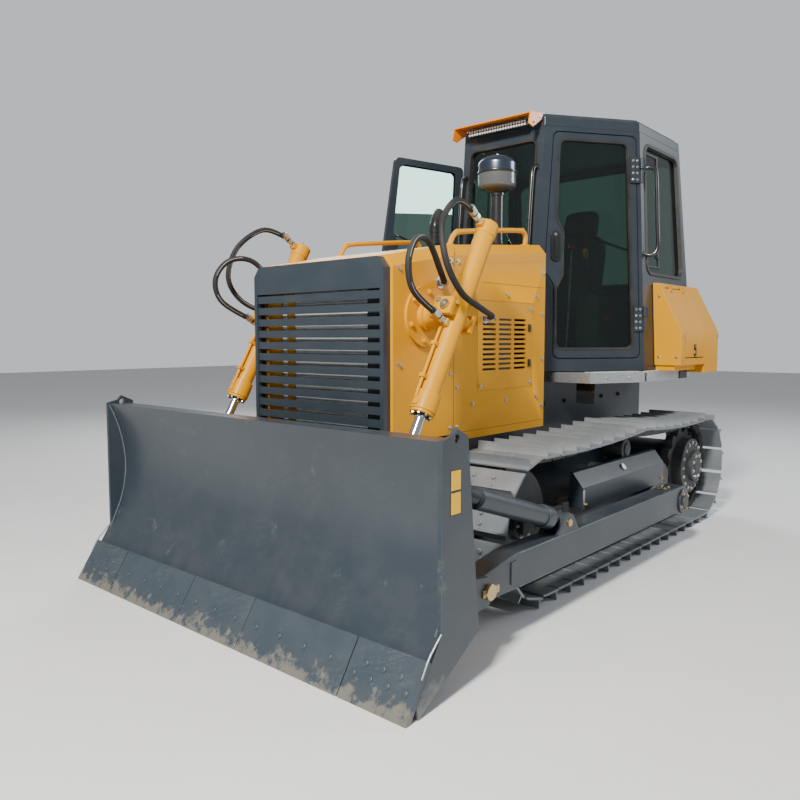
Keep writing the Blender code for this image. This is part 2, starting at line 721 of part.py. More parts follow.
def build_cab_interior():
    floor = CAB_LOW + CAB_WALL + TOUCH
    base = block("base", (-0.17, 1.78, floor), (0.17, 2.12, 1.50))
    cushion = block("cushion", (-0.26, 1.70, 1.49), (0.26, 2.20, 1.66))
    lean = Matrix.Translation((0, 2.16, 1.62)) @ Matrix.Rotation(math.radians(-12), 4, "X")
    back = block("back", (-0.25, -0.06, 0.0), (0.25, 0.07, 0.68), lean)
    head = block("head", (-0.15, -0.03, 0.66), (0.15, 0.07, 0.90), lean)
    node(fuse(base, cushion, back, head), "operator_seat", VINYL)
    for side in (LEFT, RIGHT):
        low, high = sided(0.34, 0.52, side)
        console = block("console", (low, 1.62, floor), (high, 2.20, 1.78))
        lever = tube("lever", [(side * 0.43, 1.72, 1.76), (side * 0.42, 1.70, 1.90),
                               (side * 0.41, 1.64, 2.06)], 0.009, 2)
        knob = bar("knob", (side * 0.41, 1.645, 2.045), (side * 0.405, 1.625, 2.105), 0.022, 12)
        node(fuse(console, lever, knob), f"console_{SIDE_NAMES[side]}", PLASTIC)
    dash = plate("dash", [(1.07, floor), (1.24, floor), (1.24, 1.82), (1.20, 1.95), (1.16, 1.95)],
                 "X", -0.22, 0.22)
    node(dash, "instrument_console", PLASTIC)


# ---------------------------------------------------------------- side box and fuel tank
def box_outline(side, inset=0.0):
    """Cross-section (x, z) of the boxes beside the cab."""
    wall = 0.0035
    inner_low = 0.840 + wall
    inner_top = 0.840 - 0.0503 * (BOX_TOP - CAB_DATUM_LOW) + wall
    corners = [(inner_low, BOX_LOW), (inner_top, BOX_TOP), (BOX_SHOULDER, BOX_TOP),
               (BOX_OUTER, BOX_KNEE), (BOX_OUTER, BOX_LOW)]
    if inset:
        corners = shrink(corners, inset)
    return [(side * x, z) for x, z in corners]


def build_box(side):
    body = plate("box", box_outline(side), "Y", BOX_FRONT, BOX_BACK)
    tail = block("tail", (*(sided(0.8435, BOX_OUTER, side)[0], BOX_STEP), BOX_TAIL_LOW),
                 (*(sided(0.8435, BOX_OUTER, side)[1], BOX_BACK), BOX_LOW + 0.01))
    shelf = block("shelf", (*(sided(0.8435, 0.985, side)[0], BOX_FRONT + 0.02), DECK_TOP + TOUCH),
                  (*(sided(0.8435, 0.985, side)[1], BOX_STEP - 0.05), BOX_LOW + 0.01))
    return fuse(body, tail, shelf)


def hatch_line(margin):
    """The hatch's bent line (x, z) down the slope and the upright face."""
    slope = (Vector((BOX_OUTER, BOX_KNEE)) - Vector((BOX_SHOULDER, BOX_TOP))).normalized()
    start = Vector((BOX_SHOULDER, BOX_TOP)) + slope * (0.035 + margin)
    return [tuple(start), (BOX_OUTER, BOX_KNEE), (BOX_OUTER, 1.290 + margin)]


def build_boxes():
    left = build_box(LEFT)
    wall = 0.012
    carve(left, plate("box_space", box_outline(LEFT, wall), "Y", BOX_FRONT + wall, BOX_BACK - wall))
    node(left, "side_box_left", YELLOW)
    opening = strip(hatch_line(0.0), -0.03, 0.03)
    cut(left, plate("hatch_opening", opening, "Y", 1.980, 2.370))
    lid = plate("lid", strip(hatch_line(RUN), -0.010, 0.0), "Y", 1.980 + RUN, 2.370 - RUN)
    hinges = []
    for y in (2.06, 2.29):
        x, z = HATCH_AXIS
        hinges.append(bar("lid_knuckle", (x, y - 0.02, z), (x, y + 0.02, z), 0.006, 10))
        start = hatch_line(RUN)[0]
        hinges.append(plate("lid_leaf", strip([(x, z), (start[0] + 0.012, start[1] - 0.024)],
                                              -0.006, 0.003), "Y", y - 0.02, y + 0.02))
    latch = bar("latch", (BOX_OUTER - 0.006, 2.175, 1.335), (BOX_OUTER + 0.008, 2.175, 1.335), 0.018, 16)
    lid = fuse(lid, latch, *hinges)
    node(lid, "hatch_left", YELLOW)
    pivot("hatch_left_hinge", (HATCH_AXIS[0], 2.175, HATCH_AXIS[1]), [lid])
    tank = build_box(RIGHT)
    slope = Vector((-(BOX_KNEE - BOX_TOP), BOX_OUTER - BOX_SHOULDER)).normalized()
    seat = Vector((-(BOX_SHOULDER + 0.045), 2.20, BOX_TOP - 0.090))
    out = Vector((-slope.x, 0.0, slope.y))
    neck = bar("neck", seat - out * 0.01, seat + out * 0.045, 0.042)
    node(fuse(tank, neck), "fuel_tank_right", YELLOW)


# ---------------------------------------------------------------- undercarriage
def track_path():
    """The chain's inner face as a closed line of (y, z) points, run clockwise from below."""
    low = AXLE_HEIGHT - LINK_RADIUS
    high = AXLE_HEIGHT + LINK_RADIUS
    path = [(AXLE_SPACING * i / 12, low) for i in range(12)]
    path += arc((AXLE_SPACING, AXLE_HEIGHT), LINK_RADIUS, -90, 90, 14)
    for i in range(1, 24):
        y = AXLE_SPACING * (1 - i / 24)
        span = CARRIER_Y if y < CARRIER_Y else AXLE_SPACING - CARRIER_Y
        from_end = y if y < CARRIER_Y else AXLE_SPACING - y
        t = from_end / span
        sag = -0.020 * 4 * t * (1 - t)
        path.append((y, high + CARRIER_LIFT * t + sag))
    path += arc((0.0, AXLE_HEIGHT), LINK_RADIUS, 90, 270, 14)[:-1]
    return [Vector(p) for p in path]


def along_path(path):
    """A function giving the point at a distance round the path, and the way outward."""
    count = len(path)
    lengths = [(path[(i + 1) % count] - path[i]).length for i in range(count)]
    total = sum(lengths)
    tangents = [(path[(i + 1) % count] - path[i - 1]).normalized() for i in range(count)]

    def at(distance, out):
        distance %= total
        i = 0
        while distance > lengths[i]:
            distance -= lengths[i]
            i += 1
        t = distance / lengths[i]
        place = path[i].lerp(path[(i + 1) % count], t)
        tangent = tangents[i].lerp(tangents[(i + 1) % count], t).normalized()
        return tuple(place + Vector((tangent.y, -tangent.x)) * out)
    return at, total


def build_track(side):
    path = track_path()
    at, total = along_path(path)
    pitch = total / SHOE_COUNT
    outer, inner = [], []
    plate_top = LINK_HEIGHT + PLATE_THICK
    for shoe in range(SHOE_COUNT):
        start = shoe * pitch
        for share, out in ((0.04, plate_top), (0.76, plate_top), (0.80, GROUSER_TIP),
                           (0.86, GROUSER_TIP), (0.90, plate_top)):
            outer.append(at(start + share * pitch, out))
            inner.append(at(start + share * pitch, LINK_HEIGHT - 0.003))
    low, high = TRACK_CENTRE - SHOE_WIDTH / 2, TRACK_CENTRE + SHOE_WIDTH / 2
    shoes = band("shoes", outer, inner, *sided(low, high, side))
    steps = 72
    rim = [at(total * (i + 0.31) / steps, LINK_HEIGHT + 0.004) for i in range(steps)]
    bore = [at(total * (i + 0.31) / steps, 0.0) for i in range(steps)]
    chain = band("chain", rim, bore, *sided(TRACK_CENTRE - 0.075, TRACK_CENTRE + 0.075, side))
    node(fuse(shoes, chain), f"track_{SIDE_NAMES[side]}", SHOE_STEEL)


def build_track_frame(side):
    tag = SIDE_NAMES[side]
    beam = plate("beam", [(0.325, 0.26), (0.325, 0.46), (0.42, 0.50), (2.02, 0.50), (2.08, 0.44),
                          (2.08, 0.26)], "X", *sided(0.6903, 0.900, side))
    rollers = []
    for i in range(6):
        y = 0.44 + i * 0.31
        rollers.append(bar("roller", (side * 0.735, y, 0.2055), (side * 0.915, y, 0.2055), 0.085, 16))
    forks = []
    for x_low, x_high in ((0.700, 0.730), (0.920, 0.950)):
        forks.append(block("fork", (sided(x_low, x_high, side)[0], -0.06, 0.385),
                           (sided(x_low, x_high, side)[1], 0.40, 0.475)))
    cheek = block("cheek", (sided(0.695, 0.955, side)[0], 0.365, 0.31),
                  (sided(0.695, 0.955, side)[1], 0.430, 0.484))
    y, z = ARM_PIVOT
    pin = bar("trunnion", (side * 0.85, y, z), (side * 1.225, y, z), 0.045)
    collar = bar("trunnion_root", (side * 0.85, y, z), (side * 1.040, y, z), 0.075)
    carrier = bar("carrier", (side * 0.745, CARRIER_Y, 0.688), (side * 0.905, CARRIER_Y, 0.688), 0.070)
    post = block("post", (sided(0.790, 0.850, side)[0], CARRIER_Y - 0.04, 0.480),
                 (sided(0.790, 0.850, side)[1], CARRIER_Y + 0.04, 0.688))
    beam = fuse(beam, *rollers, *forks, cheek, pin, collar, carrier, post)
    node(beam, f"track_frame_{tag}", CAST)

    idler = bar("idler", (side * 0.785, 0, AXLE_HEIGHT), (side * 0.865, 0, AXLE_HEIGHT),
                LINK_RADIUS - 0.010, 32)
    hub = bar("idler_hub", (side * (0.730 + TOUCH), 0, AXLE_HEIGHT),
              (side * (0.920 - TOUCH), 0, AXLE_HEIGHT), 0.095)
    node(fuse(idler, hub), f"idler_{tag}", CAST)

    y_low, y_high = 0.52, 1.74
    for_cover = [(0.900 + TOUCH, 0.430), (0.985, 0.430), (0.985, 0.412), (0.997, 0.412),
                 (0.997, 0.555), (0.930, 0.640), (0.908, 0.645), (0.908, 0.490),
                 (0.900 + TOUCH, 0.490)]
    cover = plate("cover", [(side * x, z) for x, z in for_cover], "Y", y_low, y_high)
    node(cover, f"spring_cover_{tag}", SLATE)


def build_sprocket(side):
    teeth = 13
    outline = []
    for i in range(teeth):
        for share, radius in ((0.0, 0.262), (0.25, 0.262), (0.45, 0.296), (0.60, 0.300),
                              (0.80, 0.296)):
            angle = 2 * math.pi * (i + share) / teeth
            outline.append((AXLE_SPACING + radius * math.cos(angle),
                            AXLE_HEIGHT + radius * math.sin(angle)))
    ring = plate("sprocket", outline, "X", *sided(0.795, 0.855, side))
    drum = bar("drum", (side * (0.775 + TOUCH), AXLE_SPACING, AXLE_HEIGHT),
               (side * 0.930, AXLE_SPACING, AXLE_HEIGHT), 0.215, 28)
    cap = bar("hub_cap", (side * 0.90, AXLE_SPACING, AXLE_HEIGHT),
              (side * 0.975, AXLE_SPACING, AXLE_HEIGHT), 0.120, 20)
    node(fuse(ring, drum, cap), f"sprocket_{SIDE_NAMES[side]}", CAST)


# ---------------------------------------------------------------- blade, arms and cylinders
def build_blade():
    edge = (Vector(EDGE_TOP) - Vector((BLADE_FRONT, 0.0))).normalized()
    thick = 0.025
    back = Vector((edge.y, -edge.x))
    seat = Vector(EDGE_TOP) + back * (thick + TOUCH)
    seat_low = seat - edge * 0.170
    curve = [(-1.236, 0.264), (-1.191, 0.343), (-1.148, 0.440), (-1.120, 0.545), (-1.109, 0.652),
             (-1.116, 0.760), (-1.138, 0.865), (-1.170, 0.960), (-1.209, BLADE_TOP)]
    face = [tuple(seat_low), tuple(seat)] + curve
    rear = [(y + 0.020, z) for y, z in reversed(curve)]
    rear += [tuple(seat + back * 0.022), tuple(seat_low + back * 0.022)]
    half = BLADE_HALF - END_PLATE / 2
    board = plate("board", face + rear, "X", -half, half)
    beams = [
        plate("top_beam", [(-1.165, 0.985), (-1.190, 1.036), (-1.075, 1.036), (-1.075, 0.930),
                           (-1.140, 0.930)], "X", -half, half),
        plate("low_beam", [(-1.225, 0.255), (-1.150, 0.420), (-1.040, 0.420), (-1.010, 0.250),
                           (-1.190, 0.170), (-1.270, 0.170)], "X", -half, half),
    ]
    rib = [(-1.146, 0.420), (-1.090, 0.652), (-1.126, 0.865), (-1.174, 1.00), (-1.075, 0.930),
           (-1.030, 0.660), (-1.040, 0.420)]
    for x in (-1.00, -0.35, 0.0, 0.35, 1.00):
        beams.append(plate("rib", rib, "X", x - 0.008, x + 0.008))
    plates = []
    wedge = [tuple(seat_low), tuple(seat), (-1.220, 0.2885),
             (-1.218, 1.044), (-1.150, 1.060), (-1.126, 1.085), (-1.100, 1.072), (-1.054, 1.052),
             (-0.969, 0.233), (-1.360, 0.0)]
    hole = arc((-1.127, 1.046), 0.017, 0, 337.5, 15)
    for side in (LEFT, RIGHT):
        plates.append(plate("end_plate", [wedge, hole], "X",
                            *sided(BLADE_HALF - END_PLATE, BLADE_HALF, side)))
        for low, high in ((1.048, ARM_INNER - TOUCH), (ARM_OUTER + TOUCH, 1.232)):
            plates.append(plate("arm_lug", [(-1.180, 0.255), (-0.800, 0.270), (-0.735, 0.335),
                                            (-0.800, 0.400), (-1.120, 0.440)],
                                "X", *sided(low, high, side)))
        for low, high in ((LIFT_X - 0.058, LIFT_X - 0.037), (LIFT_X + 0.037, LIFT_X + 0.058)):
            plates.append(plate("lift_lug", [(-1.140, 0.400), (-1.040, 0.410), (-0.970, 0.450),
                                             (-0.920, 0.520), (-0.970, 0.590), (-1.100, 0.640)],
                                "X", *sided(low, high, side)))
        for low, high in ((BRACE_X - 0.060, BRACE_X - 0.035), (BRACE_X + 0.035, BRACE_X + 0.060)):
            plates.append(plate("brace_lug", [(-1.098, 0.700), (-0.985, 0.735), (-0.930, 0.800),
                                              (-0.985, 0.860), (-1.132, 0.900)],
                                "X", *sided(low, high, side)))
    blade = node(fuse(board, *beams, *plates), "blade", SLATE)

    section = [EDGE_TOP, (BLADE_FRONT, 0.0), (BLADE_FRONT + thick / edge.y, 0.0),
               tuple(Vector(EDGE_TOP) + back * thick)]
    centre = node(plate("edge", section, "X", -0.930, 0.930), "cutting_edge", SHOE_STEEL)
    bits = []
    for side in (LEFT, RIGHT):
        bit = plate("bit", section, "X", *sided(0.930 + TOUCH, BLADE_HALF, side))
        bits.append(node(bit, f"end_bit_{SIDE_NAMES[side]}", SHOE_STEEL))
    return [blade, centre, *bits]


def build_arm(side):
    tag = SIDE_NAMES[side]
    nose = arc(ARM_NOSE, 0.060, 90, 270, 8)
    tail = arc(ARM_PIVOT, 0.105, -90, 90, 12)
    outline = nose + [(-0.53, 0.268), (1.45, 0.268)] + tail + [(1.45, 0.438), (-0.53, 0.438)]
    hole = arc(ARM_PIVOT, 0.047, 0, 345, 23)
    arm = plate("arm", [outline, hole], "X", *sided(ARM_INNER, ARM_OUTER, side))
    lugs = []
    for low, high in ((BRACE_X - 0.060, BRACE_X - 0.035), (BRACE_X + 0.035, BRACE_X + 0.060)):
        lugs.append(plate("foot_lug", [(-0.14, 0.420), (-0.065, 0.520), (-0.02, 0.540), (0.025, 0.520),
                                       (0.10, 0.420)], "X", *sided(low, high, side)))
    arm = node(fuse(arm, *lugs), f"push_arm_{tag}", SLATE)

    x = side * BRACE_X
    foot, head = Vector((x, *BRACE_FOOT)), Vector((x, *BRACE_HEAD))
    way = (head - foot).normalized()
    half = 0.035 - TOUCH
    brace = fuse(
        bar("brace", foot + way * 0.02, head - way * 0.02, 0.030),
        bar("sleeve", foot + way * 0.16, head - way * 0.22, 0.052),
        bar("collar", foot + way * 0.13, foot + way * 0.20, 0.060),
        bar("foot_eye", (x - half, *BRACE_FOOT), (x + half, *BRACE_FOOT), 0.046),
        bar("head_eye", (x - half, *BRACE_HEAD), (x + half, *BRACE_HEAD), 0.050))
    return [arm, node(brace, f"tilt_brace_{tag}", SLATE)]


def lift_axes(side):
    """Axes at a lift cylinder's trunnion, with Z up along the cylinder."""
    place = Matrix.Translation((side * LIFT_X, *LIFT_TRUNNION))
    return place @ Matrix.Rotation(-LIFT_ANGLE, 4, "X")


def build_lift(side):
    tag = SIDE_NAMES[side]
    axes = lift_axes(side)

    def length(name, low, high, radius, sides=16):
        return bar(name, axes @ Vector((0, 0, low)), axes @ Vector((0, 0, high)), radius, sides)

    reach = BARREL_REACH
    barrel = fuse(
        length("barrel", -reach + 0.04, reach - 0.02, 0.0525),
        length("gland", -reach, -reach + 0.115, 0.065),
        length("top_cap", reach - 0.075, reach, 0.058),
        bar("boss", axes @ Vector((0, -0.085, 0)), axes @ Vector((0, 0.085, 0)), 0.036),
        block("port_top", (-0.020, -0.080, reach - 0.055), (0.020, 0.0, reach - 0.015), axes),
        block("port_low", (-0.020, -0.075, -0.097), (0.020, 0.0, -0.057), axes),
        hose_boss(side, HOSE_TOP),
        hose_boss(side, HOSE_LOW))
    carve(barrel, length("bore", -reach - 0.05, reach - 0.030, 0.028))
    cylinder = node(barrel, f"lift_cylinder_{tag}", YELLOW)

    inner = -0.083 * side
    outer = 0.045 * side
    base_face = (0.575 + TOUCH - LIFT_X) * side
    yoke = block("yoke_base", (inner, -0.100, -0.060), (-0.058 * side, 0.100, 0.060), axes)
    cheeks = [block("cheek", (inner * 0.95, y, -0.048), (outer, y + 0.022, 0.048), axes)
              for y in (-0.1075, 0.1075 - 0.022)]
    stub = bar("stub", axes @ Vector((base_face, 0, 0)), axes @ Vector((-0.070 * side, 0, 0)), 0.070)
    yoke = node(fuse(yoke, stub, *cheeks), f"lift_yoke_{tag}", YELLOW)

    rod = fuse(
        length("rod", -LIFT_LENGTH, -LIFT_LENGTH + ROD_LENGTH, 0.026),
        bar("rod_eye", axes @ Vector((-0.031, 0, -LIFT_LENGTH)),
            axes @ Vector((0.031, 0, -LIFT_LENGTH)), 0.055))
    rod = node(rod, f"lift_rod_{tag}", CHROME)
    sleeve = pivot(f"lift_{tag}_trunnion", axes.translation, [cylinder, yoke])
    slider = pivot(f"lift_{tag}_slide", axes @ Vector((0, 0, -LIFT_LENGTH)), [rod])
    slider.parent = sleeve
    slider.matrix_parent_inverse = sleeve.matrix_world.inverted()


# ---------------------------------------------------------------- hoses
def build_hoses(side):
    for name, route in (("hose_top", HOSE_TOP), ("hose_low", HOSE_LOW)):
        hose = tube("hose", hose_points(side, route), HOSE_RADIUS, 2)
        node(hose, f"{name}_{SIDE_NAMES[side]}", RUBBER)


build_main_frame()
build_engine()
build_grille()
build_guard()
build_hood()
build_stacks()
build_deck()
build_cab()
build_visors()
build_cab_interior()
build_boxes()
blade_pieces = build_blade()
for each_side in (LEFT, RIGHT):
    build_door(each_side)
    build_track(each_side)
    build_track_frame(each_side)
    build_sprocket(each_side)
    build_lift(each_side)
    build_hoses(each_side)
    blade_pieces += build_arm(each_side)
pivot("blade_lift_axis", (0.0, *ARM_PIVOT), blade_pieces)

# ---------------------------------------------------------------- datum to mid length
bpy.context.view_layer.update()
reaches = [(made.matrix_world @ Vector(point)).y
           for made in parts.objects if made.type == "MESH" for point in made.bound_box]
middle_y = (min(reaches) + max(reaches)) / 2
for made in [*parts.objects, *cutters.objects]:
    if made.parent is None:
        made.location.y -= middle_y
bpy.context.view_layer.update()
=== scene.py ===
import math
import random

import bmesh
import bpy
from mathutils import Matrix, Vector


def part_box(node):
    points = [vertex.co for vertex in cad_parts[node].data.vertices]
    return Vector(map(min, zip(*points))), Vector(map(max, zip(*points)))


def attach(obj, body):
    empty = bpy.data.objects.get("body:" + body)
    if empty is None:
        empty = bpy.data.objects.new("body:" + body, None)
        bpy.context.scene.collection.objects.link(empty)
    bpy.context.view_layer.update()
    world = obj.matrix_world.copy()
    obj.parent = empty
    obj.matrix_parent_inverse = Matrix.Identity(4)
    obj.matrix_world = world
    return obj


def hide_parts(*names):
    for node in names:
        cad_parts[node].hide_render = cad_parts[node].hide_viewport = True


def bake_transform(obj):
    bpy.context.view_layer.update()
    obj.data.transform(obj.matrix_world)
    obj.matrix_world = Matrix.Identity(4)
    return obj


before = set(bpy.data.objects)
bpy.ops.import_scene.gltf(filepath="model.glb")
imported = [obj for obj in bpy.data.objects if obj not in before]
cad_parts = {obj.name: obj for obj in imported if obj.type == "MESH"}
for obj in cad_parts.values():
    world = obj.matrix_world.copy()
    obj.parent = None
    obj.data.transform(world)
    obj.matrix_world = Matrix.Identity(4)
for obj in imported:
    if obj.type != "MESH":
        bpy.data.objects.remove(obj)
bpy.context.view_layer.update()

# ---------------------------------------------------------------- camera, floor and light
# A low three-quarter view from the front left corner, on a wide pale floor under an even
# sky, with one strong key lamp and two broad, weaker ones.
idler_low, idler_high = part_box("idler_left")
AXLE_Y = (idler_low[1] + idler_high[1]) / 2   # the front axle, from which lengths are given
scene = bpy.context.scene
lens = bpy.data.cameras.new("camera")
lens.sensor_width = 36.0
lens.lens = 33.07
camera = bpy.data.objects.new("camera", lens)
scene.collection.objects.link(camera)
heading, dip = math.radians(41.164), math.radians(4.753)
gaze = Vector((-math.sin(heading) * math.cos(dip), math.cos(heading) * math.cos(dip),
               -math.sin(dip)))
camera.matrix_world = (Matrix.Translation((2.995, AXLE_Y - 3.403, 1.432))
                       @ gaze.to_track_quat("-Z", "Y").to_matrix().to_4x4())
scene.camera = camera


def add_node(tree, kind, inputs=(), **settings):
    """A shader or geometry node with its inputs linked or set."""
    made = tree.nodes.new(kind)
    for key, value in settings.items():
        setattr(made, key, value)
    for socket, value in dict(inputs).items():
        if isinstance(value, bpy.types.NodeSocket):
            tree.links.new(value, made.inputs[socket])
        else:
            made.inputs[socket].default_value = value
    return made


def new_material(name):
    """An empty Principled material: its tree and its shader."""
    made = bpy.data.materials.new(name)
    made.use_nodes = True
    return made, made.node_tree, made.node_tree.nodes["Principled BSDF"]


floor_finish, tree, shader = new_material("studio_floor")
place = add_node(tree, "ShaderNodeTexCoord")
speck = add_node(tree, "ShaderNodeTexNoise", {"Vector": place.outputs["Object"], "Scale": 3.0})
tone = add_node(tree, "ShaderNodeMix", {"Factor": speck.outputs["Fac"],
                "A": (0.80, 0.80, 0.80, 1), "B": (0.86, 0.86, 0.86, 1)}, data_type="RGBA")
tree.links.new(tone.outputs["Result"], shader.inputs["Base Color"])
shader.inputs["Roughness"].default_value = 0.85

floor_mesh = bpy.data.meshes.new("floor")
bm = bmesh.new()
bmesh.ops.create_grid(bm, x_segments=1, y_segments=1, size=30.0)
bm.to_mesh(floor_mesh)
bm.free()
floor_mesh.materials.append(floor_finish)
floor = bpy.data.objects.new("floor", floor_mesh)
floor.location.z = -0.001
scene.collection.objects.link(floor)

sky = bpy.data.worlds.new("studio")
scene.world = sky
sky.use_nodes = True
backdrop = sky.node_tree.nodes["Background"]
backdrop.inputs["Color"].default_value = (0.93, 0.96, 1.0, 1.0)
seen = sky.node_tree.nodes.new("ShaderNodeLightPath")
paler = sky.node_tree.nodes.new("ShaderNodeMapRange")
paler.inputs["To Min"].default_value = 0.36
paler.inputs["To Max"].default_value = 0.70
sky.node_tree.links.new(seen.outputs["Is Camera Ray"], paler.inputs["Value"])
sky.node_tree.links.new(paler.outputs[0], backdrop.inputs["Strength"])
for name, spot, size, power, colour in (
        ("key", (2.6, -6.6, 6.2), 1.0, 1100.0, (1.0, 0.97, 0.92)),
        ("fill", (5.5, 6.5, 4.6), 3.0, 260.0, (0.92, 0.96, 1.0)),
        ("rim", (-6.0, 5.0, 5.5), 4.0, 350.0, (0.95, 0.97, 1.0))):
    lamp = bpy.data.lights.new(name, "AREA")
    lamp.size = size
    lamp.energy = power
    lamp.color = colour
    holder = bpy.data.objects.new(name, lamp)
    scene.collection.objects.link(holder)
    holder.location = spot
    aim = Vector((0.0, 0.0, 1.0)) - Vector(spot)
    holder.rotation_euler = aim.to_track_quat("-Z", "Y").to_euler()

# ---------------------------------------------------------------- hydraulic hoses
# Four wire-braided rubber hoses feed the lift cylinders from the engine bay. Each ends in
# crimped, zinc-plated ferrules with a swaged nut, and carries a thin printed stripe.


def shader_group(name, inputs, outputs):
    """An empty shader node group with float, vector or colour sockets."""
    group = bpy.data.node_groups.new(name, "ShaderNodeTree")
    kinds = {"f": "NodeSocketFloat", "c": "NodeSocketColor", "v": "NodeSocketVector"}
    for socket, kind, value in inputs:
        made = group.interface.new_socket(socket, in_out="INPUT", socket_type=kinds[kind])
        made.default_value = value
    for socket, kind in outputs:
        group.interface.new_socket(socket, in_out="OUTPUT", socket_type=kinds[kind])
    return group, group.nodes.new("NodeGroupInput"), group.nodes.new("NodeGroupOutput")


def math_node(tree, operation, first, second=0.0, clamp=False, third=0.5):
    """The result of a Math node; third is what MULTIPLY_ADD adds."""
    made = add_node(tree, "ShaderNodeMath", {0: first, 1: second, 2: third},
                    operation=operation)
    made.use_clamp = clamp
    return made.outputs[0]


def blend_colour(tree, factor, first, second, mode="MIX"):
    made = add_node(tree, "ShaderNodeMix", {"Factor": factor}, data_type="RGBA",
                    blend_type=mode)
    for socket, value in ((6, first), (7, second)):
        if isinstance(value, bpy.types.NodeSocket):
            tree.links.new(value, made.inputs[socket])
        else:
            made.inputs[socket].default_value = value
    return made.outputs[2]


# broad tone, settled dust and fine grain, shared by the paints, plastics and rubbers
weathering, given, out = shader_group(
    "weathering",
    [("Colour", "c", (0.5, 0.5, 0.5, 1)), ("Shade", "c", (0.3, 0.3, 0.3, 1)),
     ("Dust", "f", 0.2), ("Dust Colour", "c", (0.42, 0.38, 0.32, 1)),
     ("Roughness", "f", 0.4), ("Patch Scale", "f", 1.4), ("Grain Scale", "f", 240.0),
     ("Grain", "f", 0.3)],
    [("Colour", "c"), ("Roughness", "f"), ("Height", "f")])
where = add_node(weathering, "ShaderNodeTexCoord").outputs["Object"]
broad = add_node(weathering, "ShaderNodeTexNoise",
                 {"Vector": where, "Scale": given.outputs["Patch Scale"], "Detail": 4.0})
patch = add_node(weathering, "ShaderNodeMapRange",
                 {"Value": broad.outputs["Fac"], "From Min": 0.35, "From Max": 0.70})
grain = add_node(weathering, "ShaderNodeTexNoise",
                 {"Vector": where, "Scale": given.outputs["Grain Scale"], "Detail": 2.0})
facing = add_node(weathering, "ShaderNodeSeparateXYZ",
                  {0: add_node(weathering, "ShaderNodeNewGeometry").outputs["Normal"]})
upward = add_node(weathering, "ShaderNodeMapRange",
                  {"Value": facing.outputs["Z"], "From Min": -0.2, "From Max": 1.0,
                   "To Min": 0.12, "To Max": 1.0})
film = add_node(weathering, "ShaderNodeTexNoise",
                {"Vector": where, "Scale": 6.5, "Detail": 7.0, "Roughness": 0.62})
film_mask = add_node(weathering, "ShaderNodeMapRange",
                     {"Value": film.outputs["Fac"], "From Min": 0.42, "From Max": 0.78})
dusty = math_node(weathering, "MULTIPLY", film_mask.outputs[0], upward.outputs[0])
dusty = math_node(weathering, "MULTIPLY", dusty, given.outputs["Dust"], True)
toned = blend_colour(weathering, patch.outputs[0], given.outputs["Colour"],
                     given.outputs["Shade"])
dusted = blend_colour(weathering, dusty, toned, given.outputs["Dust Colour"])
weathering.links.new(dusted, out.inputs["Colour"])
rough = math_node(weathering, "MULTIPLY_ADD", dusty, 0.5, third=given.outputs["Roughness"])
uneven = math_node(weathering, "MULTIPLY", broad.outputs["Fac"], 0.10)
weathering.links.new(math_node(weathering, "ADD", rough, uneven, True),
                     out.inputs["Roughness"])
weathering.links.new(math_node(weathering, "MULTIPLY", grain.outputs["Fac"],
                               given.outputs["Grain"]), out.inputs["Height"])

# thin random scratches, as a mask
scratches, given, out = shader_group(
    "scratches", [("Scale", "f", 3.0), ("Amount", "f", 0.5), ("Stretch", "f", 14.0)],
    [("Mask", "f")])
where = add_node(scratches, "ShaderNodeTexCoord").outputs["Object"]
stretch = add_node(scratches, "ShaderNodeCombineXYZ", {0: 1.0, 1: 1.0,
                   2: given.outputs["Stretch"]})
line_total = None
for turn in ((0.2, 0.5, 0.9), (1.1, 0.2, -0.6)):
    turned = add_node(scratches, "ShaderNodeMapping", {"Vector": where, "Rotation": turn})
    longer = add_node(scratches, "ShaderNodeVectorMath",
                      {0: turned.outputs[0], 1: stretch.outputs[0]}, operation="MULTIPLY")
    vein = add_node(scratches, "ShaderNodeTexNoise",
                    {"Vector": longer.outputs[0], "Scale": given.outputs["Scale"],
                     "Detail": 5.0, "Roughness": 0.7})
    ridge = math_node(scratches, "SUBTRACT", vein.outputs["Fac"], 0.5)
    ridge = math_node(scratches, "ABSOLUTE", ridge)
    line = add_node(scratches, "ShaderNodeMapRange",
                    {"Value": ridge, "From Min": 0.0, "From Max": 0.006, "To Min": 1.0,
                     "To Max": 0.0}).outputs[0]
    line_total = line if line_total is None else math_node(scratches, "MAXIMUM", line, line_total)
breaks = add_node(scratches, "ShaderNodeTexNoise", {"Vector": where, "Scale": 5.0})
gate = add_node(scratches, "ShaderNodeMapRange",
                {"Value": breaks.outputs["Fac"], "From Min": 0.52, "From Max": 0.62}).outputs[0]
line_total = math_node(scratches, "MULTIPLY", line_total, gate)
scratches.links.new(math_node(scratches, "MULTIPLY", line_total, given.outputs["Amount"], True),
                    out.inputs["Mask"])


